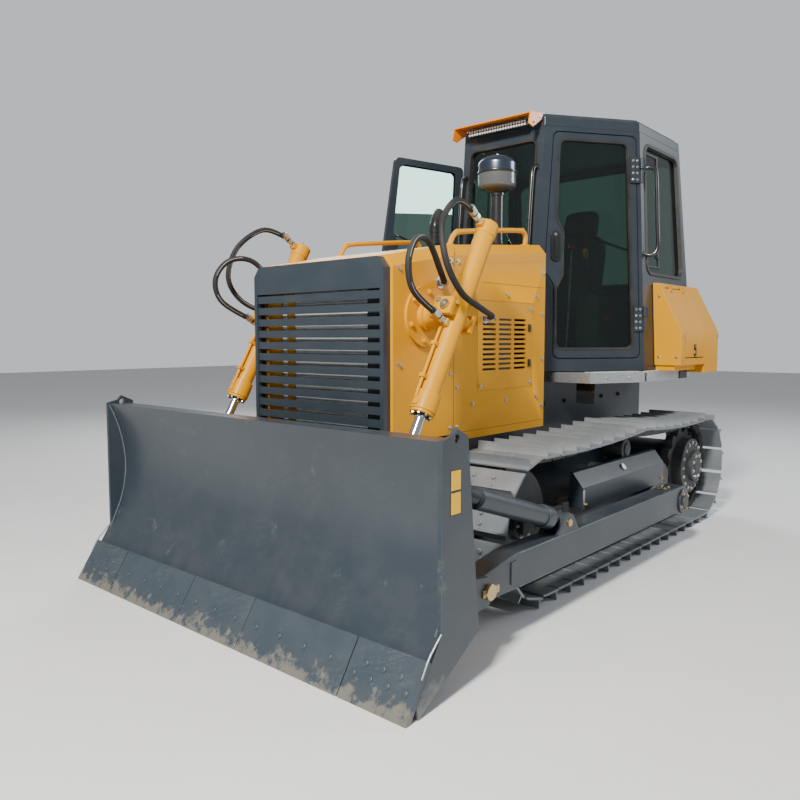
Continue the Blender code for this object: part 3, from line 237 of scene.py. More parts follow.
def coated(name, colour, shade, roughness, dust=0.2, grain=0.3, grain_scale=240.0, bump=0.0006,
           metallic=0.0, coat=0.0, scratch=0.0, scratch_colour=(0.45, 0.46, 0.47, 1),
           dust_colour=(0.42, 0.38, 0.32, 1), patch_scale=1.4):
    """A paint, plastic, rubber or metal with tone, dust, grain and light scratches."""
    made, tree, shader = new_material(name)
    base = add_node(tree, "ShaderNodeGroup", node_tree=weathering)
    values = {"Colour": (*colour, 1), "Shade": (*shade, 1), "Dust": dust, "Grain": grain,
              "Roughness": roughness, "Grain Scale": grain_scale, "Dust Colour": dust_colour,
              "Patch Scale": patch_scale}
    for socket, value in values.items():
        base.inputs[socket].default_value = value
    tint = base.outputs["Colour"]
    if scratch:
        marks = add_node(tree, "ShaderNodeGroup", node_tree=scratches)
        marks.inputs["Amount"].default_value = scratch
        tint = blend_colour(tree, marks.outputs["Mask"], tint, scratch_colour)
    tree.links.new(tint, shader.inputs["Base Color"])
    tree.links.new(base.outputs["Roughness"], shader.inputs["Roughness"])
    relief = add_node(tree, "ShaderNodeBump", {"Height": base.outputs["Height"],
                      "Strength": 0.5, "Distance": bump})
    tree.links.new(relief.outputs[0], shader.inputs["Normal"])
    shader.inputs["Metallic"].default_value = metallic
    shader.inputs["Coat Weight"].default_value = coat
    shader.inputs["Coat Roughness"].default_value = 0.08
    return made


yellow = coated("yellow_enamel", (0.72, 0.325, 0.0), (0.67, 0.295, 0.0), 0.42, dust=0.03,
                grain=0.25, grain_scale=160.0, bump=0.0007, coat=0.05)
yellow.node_tree.nodes["Principled BSDF"].inputs["Specular IOR Level"].default_value = 0.25
slate = coated("slate_enamel", (0.027, 0.038, 0.050), (0.022, 0.032, 0.043), 0.34, dust=0.10,
               grain=0.30, grain_scale=170.0, bump=0.0008, coat=0.12)
zinc = coated("zinc_plate", (0.62, 0.62, 0.60), (0.45, 0.45, 0.44), 0.30, dust=0.1, metallic=1.0,
              grain_scale=300.0, patch_scale=30.0)
gold_zinc = coated("yellow_zinc_plate", (0.62, 0.46, 0.20), (0.50, 0.40, 0.24), 0.28, dust=0.1,
                   metallic=1.0, grain_scale=300.0, patch_scale=26.0)


SMOOTH_ANGLE = 38.0   # degrees; sharper edges stay creased


def shifted(point):
    """A point measured from the front axle, in the frame's own axes."""
    return Vector((point[0], point[1] + AXLE_Y, point[2]))


def smooth_route(points, per_span):
    """A Catmull-Rom curve through given points."""
    knots = [Vector(p) for p in points]
    knots = [2 * knots[0] - knots[1]] + knots + [2 * knots[-1] - knots[-2]]
    route = []
    for a, b, c, d in zip(knots, knots[1:], knots[2:], knots[3:]):
        for i in range(per_span):
            t = i / per_span
            route.append(0.5 * (2 * b + (c - a) * t + (2 * a - 5 * b + 4 * c - d) * t * t
                                + (3 * b - a - 3 * c + d) * t * t * t))
    route.append(knots[-2])
    return route


def finish_piece(name, mesh, material, body, replaces=(), angle=SMOOTH_ANGLE, weighted=True):
    """Link a mesh as a piece that rides on a body, shaded smooth up to an angle."""
    mesh.materials.clear()
    mesh.materials.append(material)
    made = bpy.data.objects.new(name, mesh)
    scene.collection.objects.link(made)
    mesh.shade_smooth()
    mesh.set_sharp_from_angle(angle=math.radians(angle))
    if weighted:
        made.modifiers.new("even_normals", "WEIGHTED_NORMAL").keep_sharp = True
    if body:
        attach(made, body)
    if replaces:
        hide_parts(*replaces)
    return made


def sweep(points, radius, sides):
    """A round tube of constant radius with closed ends, and a UV map along it."""
    mesh = bpy.data.meshes.new("sweep")
    bm = bmesh.new()
    layer = bm.loops.layers.uv.new("along")
    tangents = [(b - a).normalized() for a, b in zip(points, points[1:])]
    tangents = ([tangents[0]] + [(a + b).normalized() for a, b in zip(tangents, tangents[1:])]
                + [tangents[-1]])
    across = tangents[0].orthogonal().normalized()
    rings, distance, last = [], [0.0], points[0]
    for point, tangent in zip(points, tangents):
        across = (across - tangent * across.dot(tangent)).normalized()
        up = tangent.cross(across)
        rings.append([bm.verts.new(point + (across * math.cos(2 * math.pi * k / sides)
                                            + up * math.sin(2 * math.pi * k / sides)) * radius)
                      for k in range(sides)])
        distance.append(distance[-1] + (point - last).length)
        last = point
    distance = distance[1:]
    for i, (ring, after) in enumerate(zip(rings, rings[1:])):
        for k in range(sides):
            j = (k + 1) % sides
            face = bm.faces.new((ring[k], ring[j], after[j], after[k]))
            for loop, (u, v) in zip(face.loops, ((k, i), (k + 1, i), (k + 1, i + 1), (k, i + 1))):
                loop[layer].uv = (u / sides, distance[v])
    bm.faces.new(list(reversed(rings[0])))
    bm.faces.new(rings[-1])
    bm.to_mesh(mesh)
    bm.free()
    return mesh


def tube(name, route, radius, sides, material, body):
    """A bent bar or pipe along a route drawn from the front axle."""
    finish_piece(name, sweep([shifted(p) for p in route], radius, sides), material, body,
                 weighted=False)


hose_skin, tree, shader = new_material("braided_hose")
along = add_node(tree, "ShaderNodeUVMap", uv_map="along")
parts_uv = add_node(tree, "ShaderNodeSeparateXYZ", {0: along.outputs[0]})
off_line = math_node(tree, "ABSOLUTE", math_node(tree, "SUBTRACT", parts_uv.outputs["X"], 0.30))
stripe = math_node(tree, "LESS_THAN", off_line, 0.012)
dashes = math_node(tree, "GREATER_THAN",
                   math_node(tree, "FRACT", math_node(tree, "MULTIPLY", parts_uv.outputs["Y"], 3.1)),
                   0.35)
printed = math_node(tree, "MULTIPLY", stripe, dashes)
ripple = math_node(tree, "SINE", math_node(tree, "MULTIPLY", parts_uv.outputs["Y"], 1500.0))
base = add_node(tree, "ShaderNodeGroup", node_tree=weathering)
for socket, value in {"Colour": (0.012, 0.012, 0.013, 1), "Shade": (0.022, 0.021, 0.020, 1),
                      "Dust": 0.15, "Roughness": 0.60}.items():
    base.inputs[socket].default_value = value
tree.links.new(blend_colour(tree, printed, base.outputs["Colour"], (0.36, 0.36, 0.35, 1)),
               shader.inputs["Base Color"])
tree.links.new(base.outputs["Roughness"], shader.inputs["Roughness"])
relief = add_node(tree, "ShaderNodeBump", {"Height": ripple, "Strength": 0.25,
                                           "Distance": 0.0004})
tree.links.new(relief.outputs[0], shader.inputs["Normal"])
shader.inputs["Specular IOR Level"].default_value = 0.35

HOSE_RADIUS = 0.016
HOSE_ROUTES = {
    "hose_top": [(0.740, -0.209, 2.057), (0.744, -0.275, 2.094), (0.765, -0.430, 2.115),
                 (0.807, -0.592, 1.990), (0.854, -0.624, 1.800), (0.853, -0.498, 1.655),
                 (0.802, -0.262, 1.590), (0.696, -0.006, 1.560), (0.590, 0.130, 1.555),
                 (0.547, 0.170, 1.555)],
    "hose_low": [(0.740, -0.507, 1.528), (0.742, -0.552, 1.554), (0.757, -0.747, 1.658),
                 (0.759, -0.786, 1.788), (0.735, -0.705, 1.899), (0.696, -0.558, 1.906),
                 (0.652, -0.398, 1.759), (0.600, -0.312, 1.731), (0.546, -0.260, 1.735)],
}


def swaged_end(name, start, way, body):
    """A crimped ferrule with its hexagon nut, from a hose's end along it."""
    bm = bmesh.new()
    turn = way.to_track_quat("Z", "Y").to_matrix().to_4x4()
    for low, high, radius, sides in ((0.004, 0.030, 0.0205, 6), (0.028, 0.040, 0.0150, 20),
                                     (0.040, 0.048, 0.0215, 20), (0.048, 0.056, 0.0200, 20),
                                     (0.056, 0.064, 0.0215, 20), (0.064, 0.072, 0.0200, 20),
                                     (0.072, 0.084, 0.0215, 20)):
        middle = start + way * (low + high) / 2
        bmesh.ops.create_cone(bm, cap_ends=True, segments=sides, radius1=radius, radius2=radius,
                              depth=high - low, matrix=Matrix.Translation(middle) @ turn)
    mesh = bpy.data.meshes.new(name)
    bm.to_mesh(mesh)
    bm.free()
    return finish_piece(name, mesh, zinc, body)


for side, tag in ((1, "left"), (-1, "right")):
    for hose, route in HOSE_ROUTES.items():
        fine = smooth_route([shifted((side * x, y, z)) for x, y, z in route], 8)
        piece = finish_piece(f"{hose}_{tag}_rubber", sweep(fine, HOSE_RADIUS, 20), hose_skin, None,
                             weighted=False)
        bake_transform(piece)
        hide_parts(f"{hose}_{tag}")
        at_cylinder = swaged_end(f"{hose}_{tag}_cylinder_end", fine[0],
                                 (fine[3] - fine[0]).normalized(), f"lift_cylinder_{tag}")
        at_hood = swaged_end(f"{hose}_{tag}_bulkhead_end", fine[-1],
                             (fine[-4] - fine[-1]).normalized(), "chassis")

# ---------------------------------------------------------------- blade
# A rolled steel mouldboard between two end plates, stiffened behind and painted slate. Its
# face is polished and scraped low down; the end plates' seams are left as bright weld.
BARE = (0.36, 0.37, 0.38, 1)


def skin(node, material, width, body, segments=2, cutter=None):
    """A CAD node's own shape with its edges rounded, shown in place of the node."""
    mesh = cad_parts[node].data.copy()
    if "custom_normal" in mesh.attributes:
        mesh.attributes.remove(mesh.attributes["custom_normal"])
    bm = bmesh.new()
    bm.from_mesh(mesh)
    bmesh.ops.remove_doubles(bm, verts=bm.verts, dist=2e-5)
    bmesh.ops.dissolve_limit(bm, angle_limit=math.radians(1.0), verts=bm.verts, edges=bm.edges)
    if width:
        sharp = [e for e in bm.edges if len(e.link_faces) == 2
                 and e.calc_face_angle(0.0) > math.radians(32.0)]
        bmesh.ops.bevel(bm, geom=sharp, offset=width, offset_type="OFFSET", segments=segments,
                        profile=0.6, affect="EDGES", clamp_overlap=True)
    bm.normal_update()
    bm.to_mesh(mesh)
    bm.free()
    made = finish_piece(f"{node}_body", mesh, material, None)
    if cutter:
        cutter.hide_render = True
        carve = made.modifiers.new("openings", "BOOLEAN")
        carve.solver = "EXACT"
        carve.operation = "DIFFERENCE"
        carve.object = cutter
        made.modifiers.move(1, 0)
        graph = bpy.context.evaluated_depsgraph_get()
        final = bpy.data.meshes.new_from_object(made.evaluated_get(graph))
        made.modifiers.clear()
        made.data = final
        bpy.data.objects.remove(cutter)
        final.set_sharp_from_angle(angle=math.radians(SMOOTH_ANGLE))
    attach(made, body)
    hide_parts(node)
    return made


def add_box(bm, low, high, bevel=0.0, turn=None):
    """A box between two corners, rounded, optionally in the axes of a matrix."""
    middle = (Vector(low) + Vector(high)) / 2
    size = [abs(b - a) for a, b in zip(low, high)]
    made = bmesh.ops.create_cube(bm, matrix=(turn or Matrix()) @ Matrix.Translation(middle)
                                 @ Matrix.Diagonal((*size, 1.0)))
    if bevel:
        edges = {e for v in made["verts"] for e in v.link_edges}
        bmesh.ops.bevel(bm, geom=list(edges), offset=bevel, segments=2, profile=0.6,
                        affect="EDGES", clamp_overlap=True)


def add_lathe(bm, start, end, profile, sides=28):
    """A turned shape about the line start to end; profile is (distance, radius) pairs."""
    start, end = Vector(start), Vector(end)
    turn = Matrix.Translation(start) @ (end - start).to_track_quat("Z", "Y").to_matrix().to_4x4()
    rings = []
    for distance, radius in profile:
        if radius < 1e-6:
            rings.append([bm.verts.new(turn @ Vector((0, 0, distance)))])
        else:
            rings.append([bm.verts.new(turn @ Vector((radius * math.cos(2 * math.pi * k / sides),
                                                      radius * math.sin(2 * math.pi * k / sides),
                                                      distance))) for k in range(sides)])
    for low, high in zip(rings, rings[1:]):
        for k in range(sides):
            j = (k + 1) % sides
            corners = [low[k % len(low)], low[j % len(low)], high[j % len(high)],
                       high[k % len(high)]]
            corners = list(dict.fromkeys(corners))
            if len(corners) > 2:
                bm.faces.new(corners)
    for ring, back in ((rings[0], True), (rings[-1], False)):
        if len(ring) > 1:
            bm.faces.new(list(reversed(ring)) if back else ring)


def add_disc(bm, start, end, radius, bevel=0.002, sides=28):
    """A short round bar with eased rims."""
    length = (Vector(end) - Vector(start)).length
    add_lathe(bm, start, end, [(0, radius - bevel), (bevel, radius), (length - bevel, radius),
                               (length, radius - bevel)], sides)


def add_prism(bm, outline, axis, low, high, bevel=0.0):
    """A flat outline made thick along an axis, with its edges rounded."""
    place = {"X": lambda a, b, t: (t, a, b), "Y": lambda a, b, t: (a, t, b),
             "Z": lambda a, b, t: (a, b, t)}[axis]
    lower = [bm.verts.new(place(a, b, low)) for a, b in outline]
    upper = [bm.verts.new(place(a, b, high)) for a, b in outline]
    faces = [bm.faces.new(lower), bm.faces.new(upper)]
    for i in range(len(outline)):
        j = (i + 1) % len(outline)
        faces.append(bm.faces.new((lower[i], lower[j], upper[j], upper[i])))
    bmesh.ops.recalc_face_normals(bm, faces=faces)
    if bevel:
        edges = {e for f in faces for e in f.edges if e.calc_face_angle(0.0) > 0.5}
        bmesh.ops.bevel(bm, geom=list(edges), offset=bevel, segments=2, profile=0.6,
                        affect="EDGES", clamp_overlap=True)


def piece(name, bm, material, body, replaces=(), angle=SMOOTH_ANGLE):
    """Finish a bmesh, drawn from the front axle, as a piece on a body."""
    mesh = bpy.data.meshes.new(name)
    bmesh.ops.recalc_face_normals(bm, faces=bm.faces)
    bm.to_mesh(mesh)
    bm.free()
    mesh.transform(Matrix.Translation((0, AXLE_Y, 0)))
    return finish_piece(name, mesh, material, body, replaces, angle=angle)


def turned_piece(name, start, end, profile, sides, material, body="chassis", replaces=()):
    """One turned shape as a piece on a body."""
    bm = bmesh.new()
    add_lathe(bm, start, end, profile, sides)
    return piece(name, bm, material, body, replaces)


def socket_id(tree, name):
    return next(i.identifier for i in tree.interface.items_tree if i.name == name)


def geometry_tree(name, inputs):
    """An empty Geometry Nodes tree with a mesh input and named inputs."""
    tree = bpy.data.node_groups.new(name, "GeometryNodeTree")
    kinds = {"f": "NodeSocketFloat", "i": "NodeSocketInt", "m": "NodeSocketMaterial",
             "v": "NodeSocketVector", "o": "NodeSocketObject"}
    tree.interface.new_socket("Geometry", in_out="INPUT", socket_type="NodeSocketGeometry")
    for socket, kind in inputs:
        tree.interface.new_socket(socket, in_out="INPUT", socket_type=kinds[kind])
    tree.interface.new_socket("Geometry", in_out="OUTPUT", socket_type="NodeSocketGeometry")
    return tree, tree.nodes.new("NodeGroupInput"), tree.nodes.new("NodeGroupOutput")


def closing(tree, instances, material, out):
    """Realize the instances, give them their material and put them out."""
    real = add_node(tree, "GeometryNodeRealizeInstances", {"Geometry": instances})
    finished = add_node(tree, "GeometryNodeSetMaterial",
                        {"Geometry": real.outputs[0], "Material": material})
    tree.links.new(finished.outputs[0], out.inputs[0])


# a field of fasteners: a washer under a hexagon head, set square to each point's normal
bolt_tree, given, out = geometry_tree("hexagon_bolts", [
    ("Head Radius", "f"), ("Head Height", "f"), ("Washer Radius", "f"), ("Washer Height", "f"),
    ("Seed", "i"), ("Material", "m")])
washer = add_node(bolt_tree, "GeometryNodeMeshCylinder", {"Vertices": 16,
                  "Radius": given.outputs["Washer Radius"],
                  "Depth": given.outputs["Washer Height"]})
head = add_node(bolt_tree, "GeometryNodeMeshCylinder", {"Vertices": 6,
                "Radius": given.outputs["Head Radius"], "Depth": given.outputs["Head Height"]})
crown = add_node(bolt_tree, "GeometryNodeMeshCone", {"Vertices": 6,
                 "Radius Bottom": given.outputs["Head Radius"]})
shrunk = math_node(bolt_tree, "MULTIPLY", given.outputs["Head Radius"], 0.80)
bolt_tree.links.new(shrunk, crown.inputs["Radius Top"])
crown_height = math_node(bolt_tree, "MULTIPLY", given.outputs["Head Height"], 0.22)
bolt_tree.links.new(crown_height, crown.inputs["Depth"])
half_washer = math_node(bolt_tree, "MULTIPLY", given.outputs["Washer Height"], 0.5)
half_head = math_node(bolt_tree, "MULTIPLY_ADD", given.outputs["Head Height"], 0.5,
                      third=given.outputs["Washer Height"])
head_top = math_node(bolt_tree, "ADD", given.outputs["Head Height"],
                     given.outputs["Washer Height"])
lifted = []
for part, height in ((washer, half_washer), (head, half_head), (crown, head_top)):
    up = add_node(bolt_tree, "ShaderNodeCombineXYZ", {2: height})
    lifted.append(add_node(bolt_tree, "GeometryNodeTransform",
                           {"Geometry": part.outputs["Mesh"], "Translation": up.outputs[0]}))
whole = add_node(bolt_tree, "GeometryNodeJoinGeometry")
for part in lifted:
    bolt_tree.links.new(part.outputs[0], whole.inputs[0])
normal = add_node(bolt_tree, "GeometryNodeInputNamedAttribute", {"Name": "facing"},
                  data_type="FLOAT_VECTOR")
align = add_node(bolt_tree, "FunctionNodeAlignRotationToVector",
                 {"Vector": normal.outputs["Attribute"]}, axis="Z")
spin = add_node(bolt_tree, "FunctionNodeRandomValue", {"Seed": given.outputs["Seed"]},
                data_type="FLOAT")
spin.inputs[3].default_value = 2 * math.pi
own_turn = add_node(bolt_tree, "ShaderNodeCombineXYZ", {2: spin.outputs[1]})
turned = add_node(bolt_tree, "FunctionNodeRotateRotation",
                  {"Rotation": align.outputs[0], "Rotate By": own_turn.outputs[0]},
                  rotation_space="LOCAL")
placed = add_node(bolt_tree, "GeometryNodeInstanceOnPoints",
                  {"Points": given.outputs["Geometry"], "Instance": whole.outputs[0],
                   "Rotation": turned.outputs[0]})
closing(bolt_tree, placed.outputs[0], given.outputs["Material"], out)


def run_tree(name, tree, points, values, body, facings=None):
    """Evaluate a tree on points and keep the result as a plain mesh piece."""
    mesh = bpy.data.meshes.new(name)
    mesh.from_pydata([tuple(p) for p in points], [], [])
    if facings:
        store = mesh.attributes.new("facing", "FLOAT_VECTOR", "POINT")
        store.data.foreach_set("vector", [c for f in facings for c in f])
    holder = bpy.data.objects.new(name, mesh)
    scene.collection.objects.link(holder)
    modifier = holder.modifiers.new(name, "NODES")
    modifier.node_group = tree
    for socket, value in values.items():
        modifier[socket_id(tree, socket)] = value
    graph = bpy.context.evaluated_depsgraph_get()
    final = bpy.data.meshes.new_from_object(holder.evaluated_get(graph))
    bpy.data.objects.remove(holder)
    final.transform(Matrix.Translation((0, AXLE_Y, 0)))
    return finish_piece(name, final, values["Material"], body, weighted=False)


def bolts(name, places, material, body, head=0.010, seed=3, tall=0.007, washer=1.55):
    """Hexagon bolts with washers; places are (point, outward direction) pairs."""
    return run_tree(name, bolt_tree, [p for p, _ in places],
                    {"Head Radius": head, "Head Height": tall, "Washer Radius": head * washer,
                     "Washer Height": 0.0022, "Seed": seed, "Material": material}, body,
                    [tuple(Vector(n).normalized()) for _, n in places])


def ground_dirt(material, reach, thickest, scale, detail, rough, low, high, most, colour):
    """Lay soil or rubbed metal over a material in blots, thickest at the ground."""
    tree = material.node_tree
    base = tree.nodes["Principled BSDF"].inputs["Base Color"]
    tint = base.links[0].from_socket
    where = add_node(tree, "ShaderNodeTexCoord").outputs["Object"]
    rise = add_node(tree, "ShaderNodeSeparateXYZ", {0: where}).outputs["Z"]
    near = add_node(tree, "ShaderNodeMapRange",
                    {"Value": rise, "From Min": 0.0, "From Max": reach, "To Min": thickest,
                     "To Max": 0.0}).outputs[0]
    clods = add_node(tree, "ShaderNodeTexNoise", {"Vector": where, "Scale": scale,
                     "Detail": detail, "Roughness": rough}).outputs["Fac"]
    soil = add_node(tree, "ShaderNodeMapRange",
                    {"Value": math_node(tree, "ADD", clods, near), "From Min": low,
                     "From Max": high, "To Max": most}).outputs[0]
    tree.links.new(blend_colour(tree, soil, tint, colour), base)


worn_slate = coated("slate_blade", (0.030, 0.042, 0.054), (0.026, 0.037, 0.048), 0.34, dust=0.08,
                    grain=0.3, grain_scale=150.0, bump=0.0006, coat=0.12, scratch=0.06)
weld = coated("weld_bead", (0.50, 0.51, 0.52), (0.34, 0.34, 0.35), 0.42, dust=0.1, metallic=0.8,
              grain=0.9, grain_scale=110.0, bump=0.002, patch_scale=30.0)
painted_weld = coated("painted_weld", (0.075, 0.095, 0.110), (0.055, 0.070, 0.084), 0.36, dust=0.3,
                      grain=0.9, grain_scale=110.0, bump=0.002, coat=0.2)
edge_steel = coated("edge_steel", (0.044, 0.060, 0.075), (0.036, 0.051, 0.065), 0.40, dust=0.10,
                    grain=0.6, grain_scale=90.0, bump=0.0009, scratch=0.30, patch_scale=5.0,
                    scratch_colour=BARE, dust_colour=(0.25, 0.23, 0.20, 1))
# rubbed metal low on the blade, and dried soil along the cutting edge's tip
ground_dirt(worn_slate, 0.16, 0.34, 9.0, 8.0, 0.68, 0.62, 0.80, 0.45, (0.23, 0.22, 0.20, 1))
ground_dirt(edge_steel, 0.11, 0.30, 16.0, 9.0, 0.7, 0.66, 0.76, 0.75, (0.20, 0.185, 0.15, 1))

skin("blade", worn_slate, 0.003, "blade_frame")
EDGE_TOP, EDGE_TIP = (-1.300, 0.210), (-1.433, 0.0)
edge_way = (Vector((0, *EDGE_TOP)) - Vector((0, *EDGE_TIP))).normalized()
edge_out = Vector((0, -edge_way.z, edge_way.y))
bm = bmesh.new()
section = [EDGE_TOP, EDGE_TIP, (-1.403, 0.0), (-1.2789, 0.1964)]
for low, high in ((-0.9270, -0.2515), (-0.2485, 0.2485), (0.2515, 0.9270)):
    add_prism(bm, section, "X", low, high, 0.0022)
piece("cutting_edge_lengths", bm, edge_steel, "blade_frame", ["cutting_edge"])
for low, high, tag in ((0.9320, 1.2995, "left"), (-1.2995, -0.9320, "right")):
    bm = bmesh.new()
    add_prism(bm, section, "X", low, high, 0.0022)
    piece(f"end_bit_{tag}_plate", bm, edge_steel, "blade_frame", [f"end_bit_{tag}"])
# plough bolts, flush heads in two rows
heads = bmesh.new()
places = [(-0.82 + 0.164 * i, 0.130) for i in range(11)]
for side in (1, -1):
    places += [(side * (0.970 + 0.092 * i), 0.110) for i in range(4)]
    places += [(side * (1.016 + 0.092 * i), 0.162) for i in range(3)]
for x, row in places:
    seat = Vector((x, *EDGE_TIP)) + edge_way * row
    add_lathe(heads, seat - edge_out * 0.004, seat + edge_out * 0.0060,
              [(0, 0.0145), (0.0064, 0.0145), (0.0086, 0.0125), (0.0094, 0.008),
               (0.0094, 0.0)], 20)
piece("plough_bolts", heads, edge_steel, "blade_frame")
# weld beads down the mouldboard's ends and round the plates' feet
profile = [(-1.229, 0.276), (-1.197, 0.343), (-1.154, 0.440), (-1.126, 0.545), (-1.115, 0.652),
           (-1.122, 0.760), (-1.144, 0.865), (-1.176, 0.960), (-1.209, 1.032)]
for side, tag in ((1, "left"), (-1, "right")):
    line = smooth_route([shifted((side * 1.277, y, z)) for y, z in profile], 10)
    random.seed(5)
    line = [p + Vector((0, random.uniform(-1, 1), random.uniform(-1, 1))) * 0.0004 for p in line]
    finish_piece(f"mouldboard_weld_{tag}", sweep(line, 0.0055, 10), painted_weld, "blade_frame")
    foot = [shifted((side * 1.2985, y, z)) for y, z in
            ((-1.338, 0.150), (-1.301, 0.211), (-1.262, 0.252), (-1.220, 0.290))]
    foot = [p + Vector((0, random.uniform(-1, 1), random.uniform(-1, 1))) * 0.0012
            for p in smooth_route(foot, 6)]
    finish_piece(f"end_weld_{tag}", sweep(foot, 0.0040, 8), weld, "blade_frame")
decal_yellow = coated("plate_yellow", (0.80, 0.46, 0.0), (0.76, 0.43, 0.0), 0.34, dust=0.03)
black_ink = coated("plate_border", (0.012, 0.012, 0.012), (0.02, 0.02, 0.02), 0.4, dust=0.1)
for side, tag in ((1, "left"), (-1, "right")):
    rim, face = bmesh.new(), bmesh.new()
    for low, high in ((0.842, 0.925), (0.747, 0.838)):
        add_box(rim, (side * 1.2995, -1.168, low), (side * 1.3012, -1.100, high), 0.0004)
        add_box(face, (side * 1.2995, -1.165, low + 0.003), (side * 1.3016, -1.103, high - 0.003),
                0.0004)
    piece(f"plate_rim_{tag}", rim, black_ink, "blade_frame")
    piece(f"plate_face_{tag}", face, decal_yellow, "blade_frame")

# ---------------------------------------------------------------- push arms and braces
# Box-section arms run outside the tracks from trunnions on the track frames to the blade's
# foot. Screw braces, one a side, hold the blade upright; all pins are zinc plated.
ARM_X = 1.140                    # middle of each arm and brace
PIVOT_Y, PIVOT_Z = 1.570, 0.333   # the trunnions that the arms turn about
for side, tag in ((1, "left"), (-1, "right")):
    skin(f"push_arm_{tag}", slate, 0.004, "blade_frame", segments=3)
    pins, plates, seams = bmesh.new(), bmesh.new(), bmesh.new()
    x0 = side * 1.2325
    add_disc(pins, (x0, -0.800, 0.335), (x0 + side * 0.020, -0.800, 0.335), 0.036)
    add_box(plates, (x0, -0.850, 0.318), (x0 + side * 0.008, -0.728, 0.352), 0.002)
    for low, high, radius in ((1.2118, 1.2180, 0.052), (1.2003, 1.2120, 0.082)):
        add_disc(seams, (side * low, PIVOT_Y, PIVOT_Z), (side * high, PIVOT_Y, PIVOT_Z), radius,
                 0.003)
    foot, head = Vector((side * ARM_X, -0.020, 0.487)), Vector((side * ARM_X, -0.985, 0.800))
    pin_reach = Vector((0.0685, 0, 0))
    for end in (foot, head):
        add_disc(pins, end - pin_reach, end + pin_reach, 0.020)
    add_box(seams, (side * 1.105, 1.330, 0.4382), (side * 1.175, 1.420, 0.4462), 0.0015)
    add_box(seams, (side * 1.2003, -0.575, 0.300), (side * 1.2063, -0.520, 0.405), 0.0015)
    piece(f"arm_pins_{tag}", pins, gold_zinc, "blade_frame")
    piece(f"pin_keepers_{tag}", plates, gold_zinc, "blade_frame")
    piece(f"arm_caps_{tag}", seams, slate, "blade_frame")
    for low in (0.2725, 0.4335):
        line = [shifted((side * 1.2005, y / 20, low + 0.0002 * (y % 2))) for y in range(-10, 29)]
        finish_piece(f"arm_seam_{tag}_{'top' if low > 0.3 else 'low'}", sweep(line, 0.0028, 8),
                     painted_weld, "blade_frame")
    bolts(f"arm_bolts_{tag}",
          [((x0 + side * 0.008, -0.752, 0.335), (side, 0, 0)),
           ((x0 + side * 0.008, -0.832, 0.335), (side, 0, 0))]
          + [((side * (ARM_X + dx), 1.375 + dy, 0.4462), (0, 0, 1))
             for dx in (-0.022, 0.022) for dy in (-0.03, 0.03)]
          + [((side * 1.2120, PIVOT_Y + 0.060 * math.cos(a), PIVOT_Z + 0.060 * math.sin(a)),
              (side, 0, 0)) for a in (0.5, 2.1, 3.6, 5.2)],
          gold_zinc, "blade_frame", head=0.0085)
    brace = bmesh.new()
    way, span = (head - foot).normalized(), (head - foot).length
    thread = [(0.03, 0.030), (0.13, 0.030), (0.131, 0.058), (0.134, 0.060), (0.196, 0.060),
              (0.200, 0.058), (0.201, 0.050), (0.205, 0.052), (span - 0.226, 0.052),
              (span - 0.222, 0.050), (span - 0.221, 0.028)]
    for i in range(17):
        at = span - 0.215 + i * 0.010
        thread += [(at, 0.028), (at + 0.005, 0.031)]
    thread += [(span - 0.04, 0.028)]
    add_lathe(brace, foot, head, thread, 32)
    half_eye = Vector((0.0345, 0, 0))
    for centre, radius in ((foot, 0.046), (head, 0.050)):
        add_disc(brace, centre - half_eye, centre + half_eye, radius, 0.003, 32)
    piece(f"screw_brace_{tag}", brace, slate, "blade_frame", [f"tilt_brace_{tag}"])

# ---------------------------------------------------------------- grille and radiator
# A welded slate frame with eleven flat slats guards an aluminium tube-and-fin radiator, which
# has yellow plates bolted over it towards one side.
skin("radiator_grille", slate, 0.0025, "chassis")
bar_tree, given, out = geometry_tree("row_of_bars", [
    ("Count", "i"), ("Step", "v"), ("Size", "v"), ("Material", "m")])
one_bar = add_node(bar_tree, "GeometryNodeMeshCube", {"Size": given.outputs["Size"]})
line = add_node(bar_tree, "GeometryNodeMeshLine",
                {"Count": given.outputs["Count"], "Offset": given.outputs["Step"]},
                mode="OFFSET")
starts = add_node(bar_tree, "GeometryNodeInstanceOnPoints",
                  {"Points": given.outputs["Geometry"], "Instance": line.outputs[0]})
rows = add_node(bar_tree, "GeometryNodeRealizeInstances", {"Geometry": starts.outputs[0]})
bars = add_node(bar_tree, "GeometryNodeInstanceOnPoints",
                {"Points": rows.outputs[0], "Instance": one_bar.outputs[0]})
closing(bar_tree, bars.outputs[0], given.outputs["Material"], out)

# light aluminium fins, made paler and mostly matt as painted sunlight, since the core sits in the
# grille's shade
fin_metal_painted_lit = coated("radiator_fins_painted_lit", (0.86, 0.87, 0.88), (0.74, 0.75, 0.76), 0.40, dust=0.10,
                   metallic=0.3, grain=0.5, grain_scale=500.0, patch_scale=4.0)
core_black = coated("radiator_core", (0.035, 0.036, 0.038), (0.05, 0.05, 0.052), 0.55, dust=0.3)
run_tree("radiator_tubes", bar_tree, [(0, -0.6230, 0.9650)],
         {"Count": 48, "Step": (0, 0, 0.0150), "Size": (0.86, 0.006, 0.0045),
          "Material": fin_metal_painted_lit}, "chassis")
run_tree("radiator_fin_rows", bar_tree, [(-0.426, -0.6208, 1.3175)],
         {"Count": 143, "Step": (0.006, 0, 0), "Size": (0.0012, 0.006, 0.715),
          "Material": fin_metal_painted_lit}, "chassis")
bm = bmesh.new()
add_box(bm, (-0.435, -0.6175, 0.925), (0.435, -0.523, 1.695), 0.003)
piece("radiator_body", bm, fin_metal_painted_lit, "chassis", ["radiator_core"])
bm = bmesh.new()
add_box(bm, (-0.30, -0.620, 0.802), (0.30, -0.4505, 0.93), 0.004)
add_box(bm, (0.345, -0.6290, 0.93), (0.4350, -0.6170, 1.69), 0.002)
piece("radiator_tank", bm, core_black, "chassis")
bm = bmesh.new()
